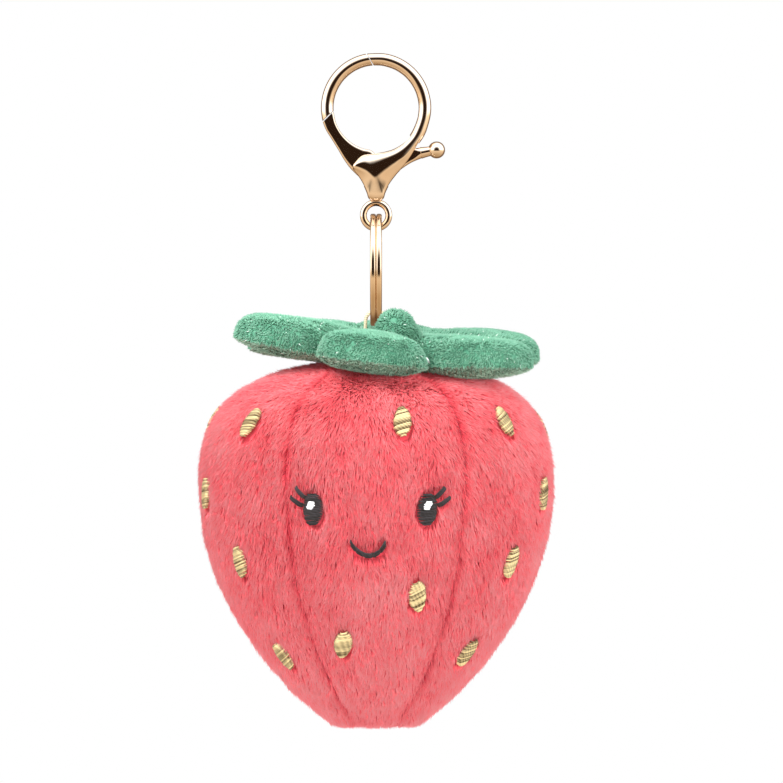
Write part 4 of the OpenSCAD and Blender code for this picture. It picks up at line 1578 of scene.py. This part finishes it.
@dataclass
class SplitRing:
    """A flat wire wound two turns, with its crossover at the back."""

    centre_z: float
    middle: float
    turn_width: float = 1.25
    wire_height: float = 2.0
    crossover: float = 140.0

    @classmethod
    def packed(cls) -> "SplitRing":
        """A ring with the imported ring's middle and outer radius."""
        low, high = corners_of("split_ring")
        return cls(centre_z=(low[2] + high[2]) / 2, middle=(high[2] - low[2] - cls.wire_height) / 2)

    def build(self) -> None:
        """Path = circle of the middle radius in the YZ plane; its x goes from -w/2 to w/2 by smoothstep halfway."""
        start = self.crossover + 13
        angle = np.linspace(start, start + 694, 420)
        x = -self.turn_width / 2 + self.turn_width * step(angle, self.crossover + 360 - 12, self.crossover + 360 + 12)
        a = np.radians(angle)
        path = np.stack([x, self.middle * np.sin(a), self.centre_z - self.middle * np.cos(a)], axis=-1)
        radial = np.stack([np.zeros_like(a), np.sin(a), -np.cos(a)], axis=-1)
        section = rounded_bar(self.wire_height, self.turn_width - 0.02, 0.42, 4)
        grid = path[:, None] + radial[:, None] * section[None, :, :1] + np.array([1, 0, 0]) * section[None, :, 1:]
        piece = make("split_ring_wire", lattice(grid), Finishes.RING_GOLD, "ring", sharp=50)
        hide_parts("split_ring")


@dataclass
class RibbonLoop:
    """The short cream tape that goes round the split ring and into the berry."""

    wire_z: float
    width: float
    bend: float = 2.25
    thickness: float = 0.7
    end_z: float = -66.0

    @classmethod
    def packed(cls) -> "RibbonLoop":
        """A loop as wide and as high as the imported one."""
        low, high = corners_of("ribbon_loop")
        return cls(wire_z=round(high[2] - cls.bend - cls.thickness / 2, 2), width=high[1] - low[1])

    def build(self) -> None:
        """Two legs, drawn together under the star, joined by a half circle of the bend's radius over the wire."""
        a = np.linspace(0, math.pi, 24)
        legs = np.linspace(self.end_z, self.wire_z, 22)[:-1]
        spread = 0.3 * step(-legs, -self.wire_z, 60.0) - 1.1 * step(-legs, 60.5, 65.0)
        left = np.stack([-(self.bend + spread), np.zeros(21), legs], axis=-1)
        over = np.stack([-self.bend * np.cos(a), np.zeros(24), self.wire_z + self.bend * np.sin(a)], axis=-1)
        right = (left * np.array([-1, 1, 1]))[::-1]
        path = np.concatenate([left, over, right])
        grid = sweep(path, np.array([0.0, 1.0, 0.0]), rounded_bar(self.width, self.thickness, 0.3, 4))
        piece = make("ribbon_loop_tape", lattice(grid), Finishes.TAPE, None, sharp=60)
        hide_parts("ribbon_loop", "loop_tail")
        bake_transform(piece)


# ---------------------------------------------------------------- studio


@dataclass
class Studio:
    """Level camera, soft lights, a pale surround and a floor far below the hanging charm."""

    frame_mm: float = 167.6
    centre: tuple[float, float] = (3.3, -69.8)
    lens: float = 200.0
    floor_z: float = -0.30

    def camera(self) -> None:
        """Puts the camera so far off that the frame at the object's plane has its real height."""
        data = bpy.data.cameras.new("camera")
        data.lens, data.sensor_width = self.lens, 36.0
        view = bpy.data.objects.new("camera", data)
        distance = self.frame_mm * MM * self.lens / 36.0
        view.location = (self.centre[0] * MM, -distance, self.centre[1] * MM)
        view.rotation_euler = (math.pi / 2, 0, 0)
        data.clip_end = 20
        bpy.context.scene.collection.objects.link(view)
        bpy.context.scene.camera = view

    @staticmethod
    def light(name: str, place: tuple[float, float, float], size: float, power: float) -> None:
        """Adds a square soft box that points at the middle of the charm; mirrors see the surround alone."""
        data = bpy.data.lights.new(name, "AREA")
        data.size, data.energy = size, power
        lamp = bpy.data.objects.new(name, data)
        lamp.location = place
        lamp.visible_glossy = False
        aim = np.array([0, 0, -0.07]) - np.array(place)
        tilt, heading = math.atan2(math.hypot(aim[0], aim[1]), -aim[2]), math.atan2(aim[0], -aim[1]) + math.pi
        lamp.rotation_euler = (tilt, 0, heading)
        bpy.context.scene.collection.objects.link(lamp)

    @staticmethod
    def surround() -> None:
        """A white surround; mirrors see it with a dark patch in front, where the camera stands, and warm below."""
        world = bpy.data.worlds.new("surround")
        world.use_nodes = True
        bpy.context.scene.world = world
        tree = world.node_tree
        tree.nodes.clear()
        place = add_node(tree, "ShaderNodeTexCoord", {}, {})
        axes = add_node(tree, "ShaderNodeSeparateXYZ", {}, {0: place.outputs["Generated"]})
        front = add_node(
            tree, "ShaderNodeMapRange", {"interpolation_type": "SMOOTHSTEP"},
            {"Value": axes.outputs["Y"], "From Min": -0.95, "From Max": -0.6, "To Min": 0.0, "To Max": 1.0},
        )
        level = add_node(
            tree, "ShaderNodeMapRange", {}, {"Value": axes.outputs["Z"], "From Min": -1.0, "From Max": 1.0}
        )
        height = add_node(
            tree, "ShaderNodeValToRGB",
            {"ramp": [(0.0, "#8A7458"), (0.36, "#B3A087"), (0.465, "#CDBDA4"), (0.52, "#FFFFFF")]},
            {0: level.outputs[0]},
        )
        below = add_node(
            tree, "ShaderNodeMapRange", {"interpolation_type": "SMOOTHSTEP"},
            {"Value": axes.outputs["Z"], "From Min": -0.32, "From Max": -0.17, "To Min": 1.0, "To Max": 0.0},
        )
        clear = add_node(tree, "ShaderNodeMath", {"operation": "MAXIMUM"}, {0: front.outputs[0], 1: below.outputs[0]})
        seen = add_node(
            tree, "ShaderNodeMix", {"data_type": "RGBA"},
            {0: clear.outputs[0], 6: linear("#1E130C"), 7: height.outputs["Color"]},
        )
        behind = add_node(
            tree, "ShaderNodeMapRange", {"interpolation_type": "SMOOTHSTEP"},
            {"Value": axes.outputs["Y"], "From Min": 0.1, "From Max": 0.6, "To Min": 0.0, "To Max": 0.95},
        )
        seen = add_node(
            tree, "ShaderNodeMix", {"data_type": "RGBA"},
            {0: behind.outputs[0], 6: seen.outputs[2], 7: linear("#54402F")},
        )
        rays = add_node(tree, "ShaderNodeLightPath", {}, {})
        mirror = add_node(tree, "ShaderNodeBackground", {}, {"Color": seen.outputs[2], "Strength": 2.1})
        plain = add_node(tree, "ShaderNodeBackground", {}, {"Color": (1.0, 1.0, 1.0, 1.0), "Strength": 1.0})
        soft = add_node(tree, "ShaderNodeBackground", {}, {"Color": (1.0, 0.99, 0.98, 1.0), "Strength": 0.8})
        lit = add_node(
            tree, "ShaderNodeMixShader", {},
            {0: rays.outputs["Is Glossy Ray"], 1: soft.outputs[0], 2: mirror.outputs[0]},
        )
        both = add_node(
            tree, "ShaderNodeMixShader", {},
            {0: rays.outputs["Is Camera Ray"], 1: lit.outputs[0], 2: plain.outputs[0]},
        )
        add_node(tree, "ShaderNodeOutputWorld", {}, {"Surface": both.outputs[0]})

    def floor(self) -> None:
        """A round white floor, far enough below to stay out of a level view."""
        azimuth = np.linspace(0, TAU, 128, endpoint=False)
        r = np.array([10.0, 400, 900])[:, None]
        z = self.floor_z / MM
        top = np.stack([r * np.cos(azimuth), r * np.sin(azimuth), np.full((3, 128), z)], axis=-1)
        grid = np.concatenate([top, top[::-1] - np.array([0, 0, 5.0])])
        patch = lattice(grid)
        mesh = bpy.data.meshes.new("floor")
        mesh.from_pydata((patch.points * MM).tolist(), [], [tuple(f) for face in patch.faces for f in face.tolist()])
        floor = bpy.data.objects.new("floor", mesh)
        bpy.context.scene.collection.objects.link(floor)
        material = bpy.data.materials.new("matt_white_board")
        material.use_nodes = True
        tree = material.node_tree
        tree.nodes.clear()
        shader = add_node(tree, "ShaderNodeBsdfPrincipled", {}, {"Base Color": linear("#F6F6F4"), "Roughness": 0.9})
        add_node(tree, "ShaderNodeOutputMaterial", {}, {"Surface": shader.outputs["BSDF"]})
        mesh.materials.append(material)
        floor.visible_glossy = False

    def build(self) -> None:
        """Sets up the camera, the lights, the surround and the floor."""
        bpy.context.scene.view_settings.view_transform = "Standard"
        self.camera()
        self.surround()
        self.light("key", (-0.5, -0.7, 0.55), 0.55, 13.0)
        self.light("fill", (0.7, -0.6, 0.15), 0.6, 5.5)
        self.light("top", (0.0, 0.15, 0.8), 0.6, 4.0)
        self.floor()


def dress(frame: dict) -> None:
    """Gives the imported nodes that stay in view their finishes."""
    for node, finish in (("lever_rivet", Finishes.GOLD), ("lever_spring", Finishes.STEEL)):
        piece = frame["nodes"][node]
        piece.data.materials.clear()
        piece.data.materials.append(finish.material())


def main() -> None:
    """Builds every piece in order."""
    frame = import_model()
    logging.basicConfig(level=logging.INFO, format="%(message)s")
    Studio().build()
    berry = Berry.packed()
    sewing = Embroidery(berry)
    Clasp.packed().build()
    SplitRing.packed().build()
    RibbonLoop.packed().build()
    berry.build(sewing.marks())
    sewing.build()
    Calyx().build()
    Stem().build()
    dress(frame)


if __name__ == "__main__":
    main()
